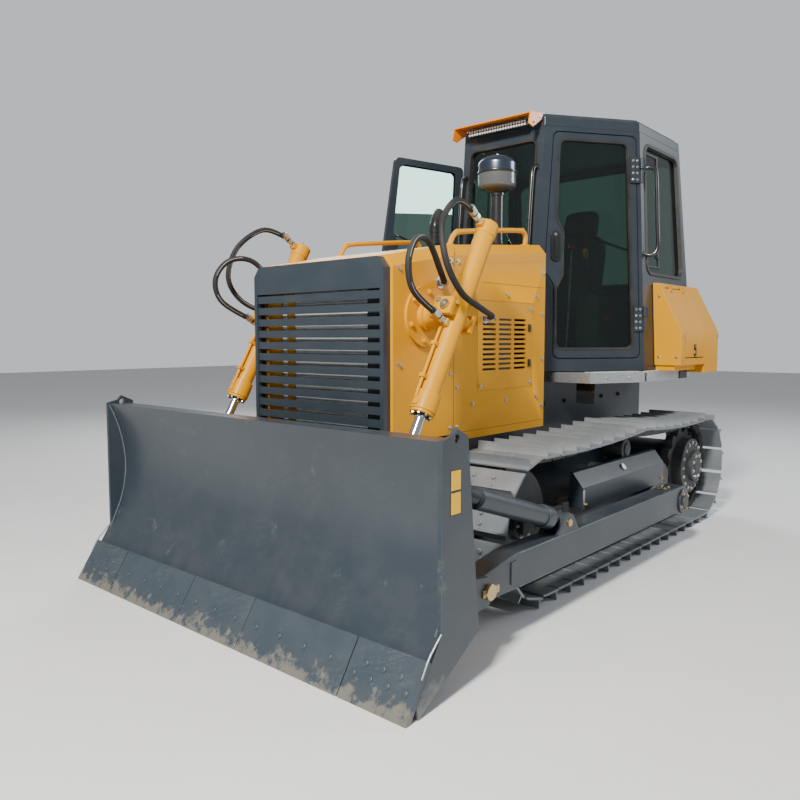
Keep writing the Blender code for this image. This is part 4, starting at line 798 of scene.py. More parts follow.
add_box(bm, (-0.435, -0.6325, 0.93), (-0.335, -0.6265, 1.69), 0.002)
add_box(bm, (-0.290, -0.6325, 0.93), (-0.225, -0.6265, 1.69), 0.002)
for side in (1, -1):
    add_box(bm, (side * 0.4385, -0.6325, 0.91), (side * 0.4580, -0.530, 1.69), 0.003)
piece("radiator_straps", bm, yellow, "chassis")
bolts("radiator_bolts", [((x, -0.6325, z), (0, -1, 0)) for x in (-0.385, -0.258)
                         for z in (1.135, 1.395, 1.590)], zinc, "chassis", head=0.008)

# ---------------------------------------------------------------- radiator guard and bonnet
# Yellow pressed panels over a tubular frame: the guard round the radiator, the bonnet with
# its grab rails, and side panels with a service door, pressed louvres and hexagon bolts.


def box_cutter(name, boxes, slants=()):
    """Boxes joined as one cutting solid, in the frame's axes."""
    bm = bmesh.new()
    for low, high in boxes:
        add_box(bm, low, high)
    for low, high, turn in slants:
        add_box(bm, low, high, turn=turn)
    mesh = bpy.data.meshes.new(name)
    bm.to_mesh(mesh)
    bm.free()
    mesh.transform(Matrix.Translation((0, AXLE_Y, 0)))
    made = bpy.data.objects.new(name, mesh)
    scene.collection.objects.link(made)
    return made


def top_at(y):
    return 1.845 + 0.190 * (min(y, -0.130) + 0.690) + 0.092 * max(0.0, y + 0.130)


skin("radiator_guard", yellow, 0.004, "chassis", segments=3)
skin("engine_hood", yellow, 0.005, "chassis", segments=3)
columns, rows = ((0.150, 0.285), (0.318, 0.453), (0.486, 0.621)), 11
groove = 0.0016                                        # half a door gap's width
door_low, door_high = (0.100, 1.1300), (0.700, 1.6550)   # the service door's corners, y and z
for side, tag in ((1, "left"), (-1, "right")):
    slots = [((side * 0.50, low, 1.246 + i * 0.0295), (side * 0.56, high, 1.2600 + i * 0.0295))
             for low, high in columns for i in range(rows)]
    (y_low, z_low), (y_high, z_high) = door_low, door_high
    seams = [((side * 0.5275, y_low, z - groove), (side * 0.54, y_high, z + groove))
             for z in (z_low, z_high)]
    seams += [((side * 0.5275, y - groove, z_low + 0.004),
               (side * 0.54, y + groove, z_high - 0.004)) for y in (y_low, y_high)]
    skin(f"hood_side_{tag}", yellow, 0.002, "chassis",
         cutter=box_cutter(f"louvre_cutter_{tag}", slots + seams))
    lips = bmesh.new()
    for y_low, y_high, z in ((0.140, 0.830, 1.7600), (-0.126, 0.846, 0.905)):
        add_box(lips, (side * 0.5298, y_low, z - 0.0011), (side * 0.5304, y_high, z + 0.0011))
    add_box(lips, (side * 0.5298, -0.1318, 0.91), (side * 0.5304, -0.1286, 1.93))
    piece(f"panel_gaps_{tag}", lips, black_ink, "chassis")
    spots = [(-0.100, 1.86), (-0.100, 1.50), (-0.100, 1.16), (-0.100, 0.94), (0.050, 1.700),
             (0.400, 1.700), (0.750, 1.700), (0.820, 1.86), (0.820, 1.59), (0.820, 1.30),
             (0.820, 1.00), (0.400, 1.060), (0.750, 1.060), (0.050, 1.060), (0.126, 1.620),
             (0.674, 1.620), (0.126, 1.160), (0.674, 1.160)]
    bolts(f"hood_bolts_{tag}", [((side * 0.530, y, z), (side, 0, 0)) for y, z in spots], zinc,
          "chassis", head=0.0085, seed=7)
    latches = bmesh.new()
    for z in (1.28, 1.50):
        add_box(latches, (side * 0.5298, 0.648, z - 0.024), (side * 0.5400, 0.672, z + 0.024), 0.003)
        add_disc(latches, (side * 0.5395, 0.660, z), (side * 0.5430, 0.660, z), 0.008, 0.001, 16)
    piece(f"door_catches_{tag}", latches, black_ink, "chassis")
    ring = [((side * 0.5450, -0.390 + 0.130 * math.cos(a), 1.550 + 0.130 * math.sin(a)),
             (side, 0, 0)) for a in (math.radians(20 + 60 * i) for i in range(6))]
    bolts(f"flange_bolts_{tag}", ring, yellow, "chassis", head=0.0125, tall=0.010)
    bolts(f"guard_bolts_{tag}", [((side * 0.530, y, z), (side, 0, 0)) for y, z in
                                 ((-0.59, 1.79), (-0.59, 1.30), (-0.59, 0.95), (-0.165, 1.86),
                                  (-0.165, 1.24), (-0.165, 0.94))], zinc, "chassis", head=0.0085)
    # a bent grab rail on two round feet
    x = side * 0.440
    path = [(x, -0.060, top_at(-0.06) - 0.006), (x, -0.030, top_at(-0.06) + 0.050),
            (x, 0.010, top_at(-0.06) + 0.085), (x, 0.710, top_at(0.74) + 0.095),
            (x, 0.750, top_at(0.74) + 0.060), (x, 0.740, top_at(0.74) - 0.006)]
    rail = []
    for a, b in zip(path, path[1:]):
        rail += [Vector(a).lerp(Vector(b), t / 6) for t in range(6)]
    rail.append(Vector(path[-1]))
    for _ in range(3):
        rail = [rail[0]] + [(p + 2 * q + r) / 4 for p, q, r in zip(rail, rail[1:], rail[2:])] + [
            rail[-1]]
    tube(f"grab_rail_{tag}", rail, 0.0152, 20, yellow, "chassis")
    feet = bmesh.new()
    for foot in (-0.060, 0.740):
        add_disc(feet, (x, foot, top_at(foot) - 0.002), (x, foot, top_at(foot) + 0.006), 0.030)
    piece(f"rail_feet_{tag}", feet, yellow, "chassis")

# ---------------------------------------------------------------- engine and hull
# The diesel is a plain block inside the bonnet. The hull is one welded box of thick plate,
# slate outside, that carries the axle cases, the equaliser bar and the tow hitch.
cast = coated("cast_iron", (0.050, 0.054, 0.058), (0.036, 0.040, 0.044), 0.50, dust=0.35,
              grain=0.9, grain_scale=130.0, bump=0.0012, metallic=0.15)
skin("engine_block", cast, 0.008, "chassis", segments=3)
skin("main_frame", slate, 0.006, "chassis", segments=3)
places = [((x, 2.7795, z), (0, 1, 0)) for x in (-0.32, 0.32) for z in (0.62, 0.80, 1.00)]
for side in (1, -1):
    places += [((side * 0.6905, 0.59 + dy, 0.43 + dz), (side, 0, 0)) for dy, dz in
               ((0.0, -0.03), (0.10, -0.03), (0.0, 0.03), (0.10, 0.03))]
    places += [((side * 0.3602, y, 0.98), (side, 0, 0)) for y in (1.15, 1.45, 1.75, 2.05, 2.35)]
bolts("hull_bolts", places, slate, "chassis", head=0.014, tall=0.011)

# ---------------------------------------------------------------- air cleaner and exhaust
# A cyclone bowl of smoked plastic under a spun metal cap, on a steel stem, and a black
# exhaust stack whose top bends over to a slanted mouth.
gloss_black = coated("gloss_black", (0.010, 0.011, 0.012), (0.014, 0.015, 0.016), 0.22, dust=0.18,
                     grain=0.2, coat=0.4)
cap_metal = coated("spun_cap", (0.16, 0.19, 0.25), (0.12, 0.15, 0.21), 0.20, dust=0.1,
                   metallic=1.0, grain=0.2, patch_scale=12.0)
bowl_plastic = coated("smoked_bowl", (0.11, 0.115, 0.115), (0.085, 0.09, 0.09), 0.12, dust=0.15,
                      grain=0.1, coat=0.6)
base = top_at(0.76) + 0.0005
STEM = (0.250, 0.700)   # where the air cleaner's upright stands
stem_foot, stem_up = (*STEM, 0), (*STEM, 1)
turned_piece("precleaner_stem", stem_foot, stem_up,
             [(base, 0.055), (base + 0.010, 0.055), (base + 0.012, 0.052), (base + 0.020, 0.0395),
              (2.050, 0.0395), (2.052, 0.0440), (2.064, 0.0440), (2.066, 0.0395),
              (2.360, 0.0395), (2.362, 0.046), (2.380, 0.046), (2.385, 0.060), (2.400, 0.075),
              (2.402, 0.0)], 36, gloss_black, replaces=["air_precleaner"])
turned_piece("precleaner_bowl", stem_foot, stem_up,
             [(2.400, 0.0), (2.400, 0.074), (2.408, 0.105), (2.418, 0.118), (2.430, 0.1235),
              (2.500, 0.1235), (2.502, 0.0)], 40, bowl_plastic)
turned_piece("precleaner_band", stem_foot, stem_up,
             [(2.499, 0.0), (2.499, 0.127), (2.503, 0.1295), (2.512, 0.1295), (2.516, 0.127),
              (2.517, 0.120)], 40, gloss_black)
turned_piece("precleaner_cap", stem_foot, stem_up,
             [(2.515, 0.0), (2.515, 0.1210), (2.560, 0.1225), (2.574, 0.1190), (2.590, 0.105),
              (2.606, 0.078), (2.617, 0.045), (2.621, 0.020), (2.622, 0.0)], 40, cap_metal)
bolts("precleaner_nut", [((*STEM, 2.6195), (0, 0, 1))], zinc, "chassis", head=0.009)
base = top_at(0.70) + 0.0005
bm = bmesh.new()
add_lathe(bm, (-0.220, 0.640, base), (-0.220, 0.640, 3),
          [(0, 0.060), (0.012, 0.060), (0.015, 0.057), (0.016, 0.0385), (0.06, 0.0385)], 32)
add_lathe(bm, (-0.220, 0.640, base + 0.05), (-0.220, 0.640, 3),
          [(0, 0.0385), (0.08, 0.0385), (0.082, 0.043), (0.100, 0.043), (0.102, 0.0385),
           (0.130, 0.0385)], 32)
piece("exhaust_foot", bm, gloss_black, "chassis", ["exhaust_stack"])
line = smooth_route([(-0.220, 0.640, base + 0.14), (-0.220, 0.640, 2.10), (-0.220, 0.642, 2.19),
                     (-0.225, 0.662, 2.248), (-0.234, 0.690, 2.284), (-0.242, 0.718, 2.308)], 6)
tube("exhaust_pipe", line, 0.0385, 28, gloss_black, "chassis")

# ---------------------------------------------------------------- lift cylinders
# Yellow double-acting cylinders swing in trunnion yokes on the radiator guard. The rods are
# hard chromed; a steel pipe takes oil from the lower port along each barrel to its gland.
chrome = coated("hard_chrome", (0.70, 0.71, 0.73), (0.62, 0.63, 0.65), 0.09, dust=0.05,
                metallic=1.0, grain=0.1, grain_scale=500.0)
EYE = Vector((0, -0.980, 0.520))
TRUNNION = Vector((0, -0.390, 1.550))
CYLINDER_X = 0.740      # the cylinders' distance from the middle
GLAND = 0.559           # from the trunnion to either end of the barrel
for side, tag in ((1, "left"), (-1, "right")):
    body = f"lift_cylinder_{tag}"
    across = Vector((side * CYLINDER_X, 0, 0))
    eye, centre = EYE + across, TRUNNION + across
    way = (centre - eye).normalized()
    front = way.cross(Vector((1, 0, 0))).normalized()
    if front.y > 0:
        front.negate()
    axes = Matrix((Vector((1, 0, 0)), -front, way)).transposed().to_4x4()
    axes = Matrix.Translation(centre) @ axes
    bm = bmesh.new()
    add_lathe(bm, centre - way * GLAND, centre + way * 2,
              [(0, 0.030), (0.0, 0.058), (0.003, 0.0605), (0.014, 0.0605), (0.016, 0.063),
               (0.018, 0.065), (0.112, 0.065), (0.115, 0.062), (0.117, 0.0525), (1.040, 0.0525),
               (1.043, 0.056), (1.046, 0.058), (1.113, 0.058), (1.118, 0.054), (1.118, 0.0)], 36)
    for stub in (front, -front):
        add_disc(bm, centre + stub * 0.040, centre + stub * 0.088, 0.036, 0.003)
    add_box(bm, (-0.020, -0.080, 0.504), (0.020, -0.040, 0.544), 0.004, axes)
    add_box(bm, (-0.020, -0.075, -0.097), (0.020, -0.040, -0.057), 0.004, axes)
    add_box(bm, (-side * 0.022, -0.070, -0.530), (side * 0.010, -0.040, -0.490), 0.004, axes)
    piece(f"cylinder_barrel_{tag}", bm, yellow, body, [f"lift_cylinder_{tag}"])
    bm = bmesh.new()
    pipe = [axes @ Vector((-side * x, y, z)) for x, y, z in (
        (0.012, -0.050, -0.077), (0.012, -0.066, -0.100), (0.012, -0.070, -0.130),
        (0.012, -0.070, -0.300), (0.012, -0.070, -0.460), (0.012, -0.066, -0.492),
        (0.010, -0.052, -0.510))]
    tube(f"gland_pipe_{tag}", smooth_route(pipe, 6), 0.0085, 14, yellow, body)
    for along in (-0.20, -0.38):
        add_box(bm, (-side * 0.028, -0.084, along - 0.011), (side * 0.004, -0.045, along + 0.011),
                0.003, axes)
    piece(f"pipe_clips_{tag}", bm, yellow, body)
    turned_piece(f"rod_wiper_{tag}", centre - way * (GLAND + 0.004), centre,
                 [(0, 0.0275), (0, 0.036), (0.006, 0.040), (0.006, 0.0275)], 32, black_ink, body)
    rings = []
    for radius, along, count, first, out_way in ((0.049, -GLAND, 8, 22, -way),
                                                 (0.040, GLAND, 4, 45, way)):
        for i in range(count):
            a = math.radians(360 / count * i + first)
            rings.append((axes @ Vector((radius * math.cos(a), radius * math.sin(a), along)),
                          out_way))
    bolts(f"gland_bolts_{tag}", rings, zinc, body, head=0.0065, washer=1.05)
    fittings, bulkheads = bmesh.new(), bmesh.new()
    for route in HOSE_ROUTES.values():
        fine = smooth_route([Vector((side * x, y, z)) for x, y, z in route], 3)
        out_way = (fine[1] - fine[0]).normalized()
        add_lathe(fittings, fine[0] - out_way * 0.024, fine[0],
                  [(0, 0.020), (0.010, 0.020), (0.011, 0.0165), (0.0236, 0.0165)], 6)
        in_way = (fine[-1] - fine[-2]).normalized()
        add_lathe(bulkheads, fine[-1], fine[-1] + in_way * 0.030,
                  [(0.0004, 0.0215), (0.016, 0.0215), (0.017, 0.019), (0.030, 0.019)], 6)
        add_disc(bulkheads, (side * 0.5300, fine[-1].y, fine[-1].z),
                 (side * 0.5345, fine[-1].y, fine[-1].z), 0.034, 0.001)
    piece(f"cylinder_fittings_{tag}", fittings, zinc, body)
    piece(f"bulkhead_fittings_{tag}", bulkheads, zinc, "chassis")
    skin(f"lift_yoke_{tag}", yellow, 0.005, body, segments=3)
    pins = bmesh.new()
    for low, high in ((-0.104, -0.122), (0.104, 0.118)):
        add_disc(pins, axes @ Vector((0, low, 0)), axes @ Vector((0, high, 0)), 0.026, 0.003)
    piece(f"trunnion_pins_{tag}", pins, gold_zinc, body)
    spots = ((0.0, -0.122, 0.0), (-side * 0.052, -0.1075, -0.030), (-side * 0.052, -0.1075, 0.030))
    bolts(f"yoke_bolts_{tag}", [(axes @ Vector(spot), front) for spot in spots], zinc, body)
    turned_piece(f"rod_{tag}", eye + way * 0.030, eye + way * 2,
                 [(0, 0.0262), (0.900, 0.0262), (0.902, 0.0)], 32, chrome, f"lift_rod_{tag}",
                 [f"lift_rod_{tag}"])
    ends = bmesh.new()
    add_disc(ends, eye - Vector((0.031, 0, 0)), eye + Vector((0.031, 0, 0)), 0.055, 0.004, 36)
    add_lathe(ends, eye + way * 0.035, eye + way * 2, [(0, 0.040), (0.018, 0.036), (0.024, 0.0262)],
              28)
    piece(f"rod_eye_{tag}", ends, yellow, f"lift_rod_{tag}")
    pin, pin_reach = bmesh.new(), Vector((0.072, 0, 0))
    add_disc(pin, eye - pin_reach, eye + pin_reach, 0.022, 0.002)
    piece(f"eye_pin_{tag}", pin, gold_zinc, "blade_frame")

# ---------------------------------------------------------------- cab shell, roof and glass
# A six-sided cab welded from folded sheet and painted slate, with a flat roof. Its green
# tinted panes sit in black rubber; grab bars flank the windscreen and the rear pillars.
PLAN_LOW = [(0.3195, 1.000), (0.8400, 1.7254), (0.8400, 2.660)]
PLAN_HIGH = [(0.3375, 1.150), (0.7545, 1.7313), (0.7545, 2.474)]


def cab_corner(index, side, high=False):
    x, y = (PLAN_HIGH if high else PLAN_LOW)[index]
    return Vector((side * x, y, 2.950 if high else 1.250))


def face_axes(first, second, high):
    """Axes of a flat face: X along it, Y up it and Z out of it."""
    along = (second - first).normalized()
    out_way = along.cross(high - first).normalized()
    if out_way.dot(first - Vector((0.0, 1.9, first.z))) < 0:
        out_way.negate()
    up = out_way.cross(along)
    if up.z < 0:
        up.negate()
    return Matrix.Translation(first) @ Matrix((along, up, out_way)).transposed().to_4x4()


def rounded(corners, radius, steps=6):
    points = []
    for i, here in enumerate(corners):
        here = Vector(here)
        back = (Vector(corners[i - 1]) - here).normalized()
        ahead = (Vector(corners[(i + 1) % len(corners)]) - here).normalized()
        half = back.angle(ahead) / 2
        reach = radius / math.tan(half)
        start, end = here + back * reach, here + ahead * reach
        centre = here + (back + ahead).normalized() * radius / math.sin(half)
        for k in range(steps + 1):
            spoke = (start - centre).slerp(end - centre, k / steps).normalized()
            points.append(centre + spoke * radius)
    return points


def shrink(corners, distance):
    middle = sum((Vector(c) for c in corners), Vector((0, 0))) / len(corners)
    moved = []
    for i, here in enumerate(corners):
        here = Vector(here)
        before = (here - Vector(corners[i - 1])).normalized()
        after = (Vector(corners[(i + 1) % len(corners)]) - here).normalized()
        n1, n2 = Vector((-before.y, before.x)), Vector((-after.y, after.x))
        if n1.dot(middle - here) < 0:
            n1, n2 = -n1, -n2
        mean = (n1 + n2).normalized()
        moved.append(here + mean * distance / mean.dot(n1))
    return moved


def add_gasket(bm, corners, radius, face, section):
    """A closed strip round an outline; section is (inset, height) pairs."""
    loops = []
    for inset, height in section:
        ring = rounded(shrink(corners, inset), max(radius - inset, 0.004))
        loops.append([bm.verts.new(face @ Vector((p.x, p.y, height))) for p in ring])
    for one, other in zip(loops, loops[1:] + loops[:1]):
        for i in range(len(one)):
            j = (i + 1) % len(one)
            bm.faces.new((one[i], one[j], other[j], other[i]))


rubber = coated("window_rubber", (0.014, 0.014, 0.015), (0.022, 0.022, 0.022), 0.55, dust=0.3,
                grain=0.4, grain_scale=300.0)
glass, tree, shader = new_material("green_glass")
shader.inputs["Base Color"].default_value = (0.22, 0.36, 0.31, 1)
shader.inputs["Specular IOR Level"].default_value = 0.35
shader.inputs["Transmission Weight"].default_value = 1.0
shader.inputs["IOR"].default_value = 1.5
place = add_node(tree, "ShaderNodeTexCoord").outputs["Object"]
smears = add_node(tree, "ShaderNodeTexNoise", {"Vector": place, "Scale": 5.0, "Detail": 6.0})
film = add_node(tree, "ShaderNodeMapRange", {"Value": smears.outputs["Fac"], "From Min": 0.5,
                "From Max": 0.9, "To Min": 0.0, "To Max": 0.02})
tree.links.new(film.outputs[0], shader.inputs["Roughness"])
waves = add_node(tree, "ShaderNodeTexNoise", {"Vector": place, "Scale": 1.6})
relief = add_node(tree, "ShaderNodeBump", {"Height": waves.outputs["Fac"], "Strength": 0.05,
                  "Distance": 0.01})
tree.links.new(relief.outputs[0], shader.inputs["Normal"])

skin("cab_shell", slate, 0.006, "chassis", segments=3)
skin("cab_roof", slate, 0.008, "chassis", segments=3)
FRONT_FACE = face_axes(cab_corner(0, -1), cab_corner(0, 1), cab_corner(0, -1, True))
REAR_FACE = face_axes(cab_corner(2, 1), cab_corner(2, -1), cab_corner(2, 1, True))
SCREEN = [(0.050, 0.060), (0.589, 0.060), (0.599, 1.560), (0.040, 1.560)]
REAR_GLASS = [(0.130, 0.640), (1.550, 0.640), (1.530, 1.560), (0.150, 1.560)]
QUARTER = [(0.085, 0.660), (0.760, 0.660), (0.690, 1.570), (0.085, 1.570)]
gaskets = bmesh.new()
slim = [(-0.011, -0.001), (-0.009, 0.0045), (0.005, 0.0035), (0.008, -0.020)]
thick = [(-0.018, -0.001), (-0.015, 0.009), (0.006, 0.008), (0.011, -0.018)]
add_gasket(gaskets, SCREEN, 0.05, FRONT_FACE, slim)
add_gasket(gaskets, REAR_GLASS, 0.07, REAR_FACE, slim)
for side, tag in ((1, "left"), (-1, "right")):
    quarter = face_axes(cab_corner(1, side), cab_corner(2, side), cab_corner(1, side, True))
    add_gasket(gaskets, QUARTER, 0.07, quarter, thick)
    slider = bmesh.new()
    for low, high, bevel in (((0.330, 0.700, -0.019), (0.352, 1.535, -0.012), 0.002),
                             ((0.120, 0.705, -0.019), (0.335, 0.720, -0.013), 0.002),
                             ((0.120, 1.515, -0.019), (0.335, 1.530, -0.013), 0.002),
                             ((0.300, 0.780, -0.014), (0.325, 0.830, -0.004), 0.003)):
        add_box(slider, low, high, bevel, quarter)
    piece(f"quarter_slider_{tag}", slider, rubber, "chassis")
    bar_points = [(0.040, 1.380, -0.004), (0.046, 1.395, 0.030), (0.064, 1.385, 0.070),
                  (0.076, 1.330, 0.086), (0.076, 1.000, 0.086), (0.076, 0.850, 0.086),
                  (0.064, 0.790, 0.070), (0.046, 0.778, 0.030), (0.040, 0.793, -0.004)]
    line = smooth_route([quarter @ Vector(p) for p in bar_points], 6)
    tube(f"pillar_handle_{tag}", line, 0.0145, 18, gloss_black, "chassis")
    handle = bmesh.new()
    reach_x = 0.6390 - 0.024 if side > 0 else 0.024
    ends = [(reach_x, up, out_by) for up, out_by in (
        (0.760, -0.004), (0.768, 0.030), (0.800, 0.055), (0.900, 0.060), (1.200, 0.060),
        (1.330, 0.055), (1.362, 0.030), (1.370, -0.004))]
    line = smooth_route([FRONT_FACE @ Vector(p) for p in ends], 6)
    tube(f"screen_handle_{tag}", line, 0.0145, 18, gloss_black, "chassis")
    for face, along, ups in ((FRONT_FACE, reach_x, (0.760, 1.370)),
                             (quarter, 0.040, (1.380, 0.793))):
        turn = face.to_3x3() @ Vector((0, 0, 1))
        for up in ups:
            spot = face @ Vector((along, up, 0.0))
            add_disc(handle, spot - turn * 0.002, spot + turn * 0.005, 0.022)
    piece(f"handle_feet_{tag}", handle, gloss_black, "chassis")
piece("window_gaskets", gaskets, rubber, "chassis")
for pane in ("windshield", "rear_window", "quarter_window_left", "quarter_window_right"):
    skin(pane, glass, 0.0, "chassis")
seams = bmesh.new()
for side in (1, -1):
    quarter = face_axes(cab_corner(1, side), cab_corner(2, side), cab_corner(1, side, True))
    add_box(seams, (0.020, 1.600, -0.0005), (0.735, 1.6018, 0.0006), turn=quarter)
    add_box(seams, (0.100, 0.560, -0.0005), (0.850, 0.5618, 0.0006), turn=quarter)
piece("cab_sheet_joints", seams, black_ink, "chassis")

# ---------------------------------------------------------------- cab doors
# Each door is a folded steel frame round one tinted pane, hung on two bolted strap hinges at
# the rear pillar, with a black paddle handle in front. The right one stands open.
DOOR_WINDOW = [(0.092, 0.115), (0.688, 0.115), (0.684, 0.527), (0.634, 0.623), (0.626, 0.931),
               (0.676, 1.012), (0.652, 1.555), (0.137, 1.555)]
DOOR_EDGES = [(0.040, 0.050), (0.705, 0.050), (0.698, 0.560), (0.7665, 0.652), (0.694, 1.605),
              (0.075, 1.605)]
door_face = face_axes(cab_corner(1, 1), cab_corner(0, 1), cab_corner(1, 1, True))
hinge_top = door_face.inverted() @ cab_corner(1, 1, True)


def hinge_line(up):
    return hinge_top.x * up / hinge_top.y


seals = bmesh.new()
for side, tag in ((1, "left"), (-1, "right")):
    closed = face_axes(cab_corner(1, side), cab_corner(0, side), cab_corner(1, side, True))
    add_gasket(seals, DOOR_EDGES, 0.04, closed,
               [(-0.006, -0.0600), (-0.006, -0.0445), (0.016, -0.0445), (0.016, -0.0600)])
    face = closed
    if side < 0:
        low = closed @ Vector((0.0, 0.0, 0.018))
        high = closed @ Vector((hinge_line(1.6), 1.6, 0.018))
        swing = (Matrix.Translation(low) @ Matrix.Rotation(math.radians(-60.0), 4, high - low)
                 @ Matrix.Translation(-low))
        face = swing @ closed
    body = f"door_{tag}"
    skin(f"door_{tag}", slate, 0.004, body, segments=3)
    skin(f"door_glass_{tag}", glass, 0.0, body)
    bm = bmesh.new()
    add_gasket(bm, DOOR_WINDOW, 0.045, face, slim)
    piece(f"door_gasket_{tag}", bm, rubber, body)
    paddle, lock = bmesh.new(), bmesh.new()
    place = face @ Matrix.Translation((0.692, 0.8225, 0))
    plate_line = rounded([(-0.034, -0.104), (0.034, -0.104), (0.034, 0.104), (-0.034, 0.104)],
                         0.030)
    lower = [paddle.verts.new(place @ Vector((p.x, p.y, -0.002))) for p in plate_line]
    upper = [paddle.verts.new(place @ Vector((p.x * 0.92, p.y * 0.97, 0.015)))
             for p in plate_line]
    paddle.faces.new(lower)
    paddle.faces.new(upper)
    for i in range(len(lower)):
        j = (i + 1) % len(lower)
        paddle.faces.new((lower[i], lower[j], upper[j], upper[i]))
    add_box(paddle, (-0.016, -0.080, 0.0145), (0.012, 0.060, 0.0235), 0.004, place)
    piece(f"door_paddle_{tag}", paddle, gloss_black, body)
    up_way = place.to_3x3() @ Vector((0, 0, 1))
    spot = place @ Vector((0.0, 0.080, 0.0148))
    add_disc(lock, spot, spot + up_way * 0.0030, 0.011, 0.001, 20)
    piece(f"door_lock_{tag}", lock, zinc, body)
    fixings = []
    for up in (0.325, 1.370):
        lean = hinge_line(up)
        fixings += [(face @ Vector((lean + inward, up + step, 0.0170)), up_way)
                    for step in (-0.066, -0.022, 0.022, 0.066) for inward in (0.066, 0.034)]
    bolts(f"hinge_bolts_{tag}", fixings, zinc, body, head=0.0065)
    pull = [face @ Vector(p) for p in ((0.655, 0.985, -0.044), (0.640, 0.982, -0.070),
                                       (0.560, 0.955, -0.078), (0.350, 0.895, -0.078),
                                       (0.150, 0.838, -0.078), (0.105, 0.825, -0.070),
                                       (0.098, 0.822, -0.044))]
    tube(f"door_pull_{tag}", smooth_route(pull, 6), 0.009, 14, gloss_black, body)
piece("doorway_seals", seals, rubber, "chassis")

# ---------------------------------------------------------------- visors and light bar
# Orange folded sheet shades the front and rear windows, fixed by bolted ends, and a black
# lamp with two rows of small lenses hangs under the front one.
orange = coated("orange_enamel", (0.84, 0.27, 0.010), (0.80, 0.235, 0.008), 0.32, dust=0.12,
                grain=0.25, grain_scale=160.0, coat=0.4)
skin("front_visor", orange, 0.002, "chassis")
skin("rear_visor", orange, 0.002, "chassis")
bolts("visor_bolts", [((s * 0.3222, y, z), (s, 0, 0)) for s in (-1, 1)
                      for y, z in ((1.110, 2.945), (1.030, 2.890))]
      + [((s * 0.6402, 2.520, 2.930), (s, 0, 0)) for s in (-1, 1)], zinc, "chassis", head=0.008)
lens_tree, given, out = geometry_tree("round_studs", [
    ("Count", "i"), ("Step", "v"), ("Radius", "f"), ("Height", "f"), ("Sides", "i"),
    ("Turn", "v"), ("Material", "m")])
stud = add_node(lens_tree, "GeometryNodeMeshCone", {"Vertices": given.outputs["Sides"],
                "Radius Bottom": given.outputs["Radius"], "Depth": given.outputs["Height"]})
lens_tree.links.new(math_node(lens_tree, "MULTIPLY", given.outputs["Radius"], 0.72),
                    stud.inputs["Radius Top"])
line = add_node(lens_tree, "GeometryNodeMeshLine",
                {"Count": given.outputs["Count"], "Offset": given.outputs["Step"]},
                mode="OFFSET")
starts = add_node(lens_tree, "GeometryNodeInstanceOnPoints",
                  {"Points": given.outputs["Geometry"], "Instance": line.outputs[0]})
rows = add_node(lens_tree, "GeometryNodeRealizeInstances", {"Geometry": starts.outputs[0]})
studs = add_node(lens_tree, "GeometryNodeInstanceOnPoints",
                 {"Points": rows.outputs[0], "Instance": stud.outputs["Mesh"],
                  "Rotation": given.outputs["Turn"]})
closing(lens_tree, studs.outputs[0], given.outputs["Material"], out)
lamp_lens = coated("lamp_lens", (0.72, 0.74, 0.74), (0.60, 0.62, 0.63), 0.10, dust=0.1, coat=0.8,
                   grain=0.6, grain_scale=400.0)
skin("light_bar", gloss_black, 0.004, "chassis", segments=3)
for row, z in (("low", 2.9015), ("high", 2.9235)):
    run_tree(f"lamp_lenses_{row}", lens_tree, [(-0.2310, 1.0585, z)],
             {"Count": 22, "Step": (0.022, 0, 0), "Radius": 0.0090, "Height": 0.005, "Sides": 16,
              "Turn": (math.pi / 2, 0, 0), "Material": lamp_lens}, "chassis")
frame_bar = bmesh.new()
for z in (2.8895, 2.9115, 2.9335):
    add_box(frame_bar, (-0.2505, 1.0575, z), (0.2505, 1.0615, z + 0.002), 0.0005)
piece("lamp_frame", frame_bar, gloss_black, "chassis")

# ---------------------------------------------------------------- inside the cab
# A vinyl suspension seat with stitched panels stands between two steel consoles that carry
# the levers; pedals, a tall lever and an instrument desk are in front.
vinyl = coated("black_vinyl", (0.022, 0.022, 0.023), (0.030, 0.030, 0.031), 0.48, dust=0.2,
               grain=0.9, grain_scale=420.0, bump=0.0008)
desk = coated("console_grey", (0.060, 0.105, 0.095), (0.048, 0.090, 0.082), 0.55, dust=0.2,
              grain=0.9, grain_scale=260.0)
red_knob = coated("red_knob", (0.45, 0.015, 0.012), (0.38, 0.012, 0.010), 0.28, dust=0.05, coat=0.4)


def cushion(name, half, place, channels=(), power=5.0):
    """A stuffed pad: a rounded block with domed faces and stitched channels."""
    bm = bmesh.new()
    bmesh.ops.create_cube(bm, size=2.0)
    bmesh.ops.subdivide_edges(bm, edges=bm.edges[:], cuts=17, use_grid_fill=True)
    for v in bm.verts:
        size = sum(abs(c) ** power for c in v.co) ** (1 / power)
        q = v.co / size
        dome = 1.0 + 0.10 * (1 - min(1.0, q.x * q.x)) * (1 - min(1.0, q.y * q.y))
        for axis, line in channels:
            gap = (q.x if axis == "x" else q.y) - line
            dome -= 0.16 * math.exp(-(gap / 0.035) ** 2)
        v.co = Vector((q.x * half[0], q.y * half[1], q.z * half[2] * dome))
    bm.transform(place)
    made = piece(name, bm, vinyl, "chassis", angle=70.0)


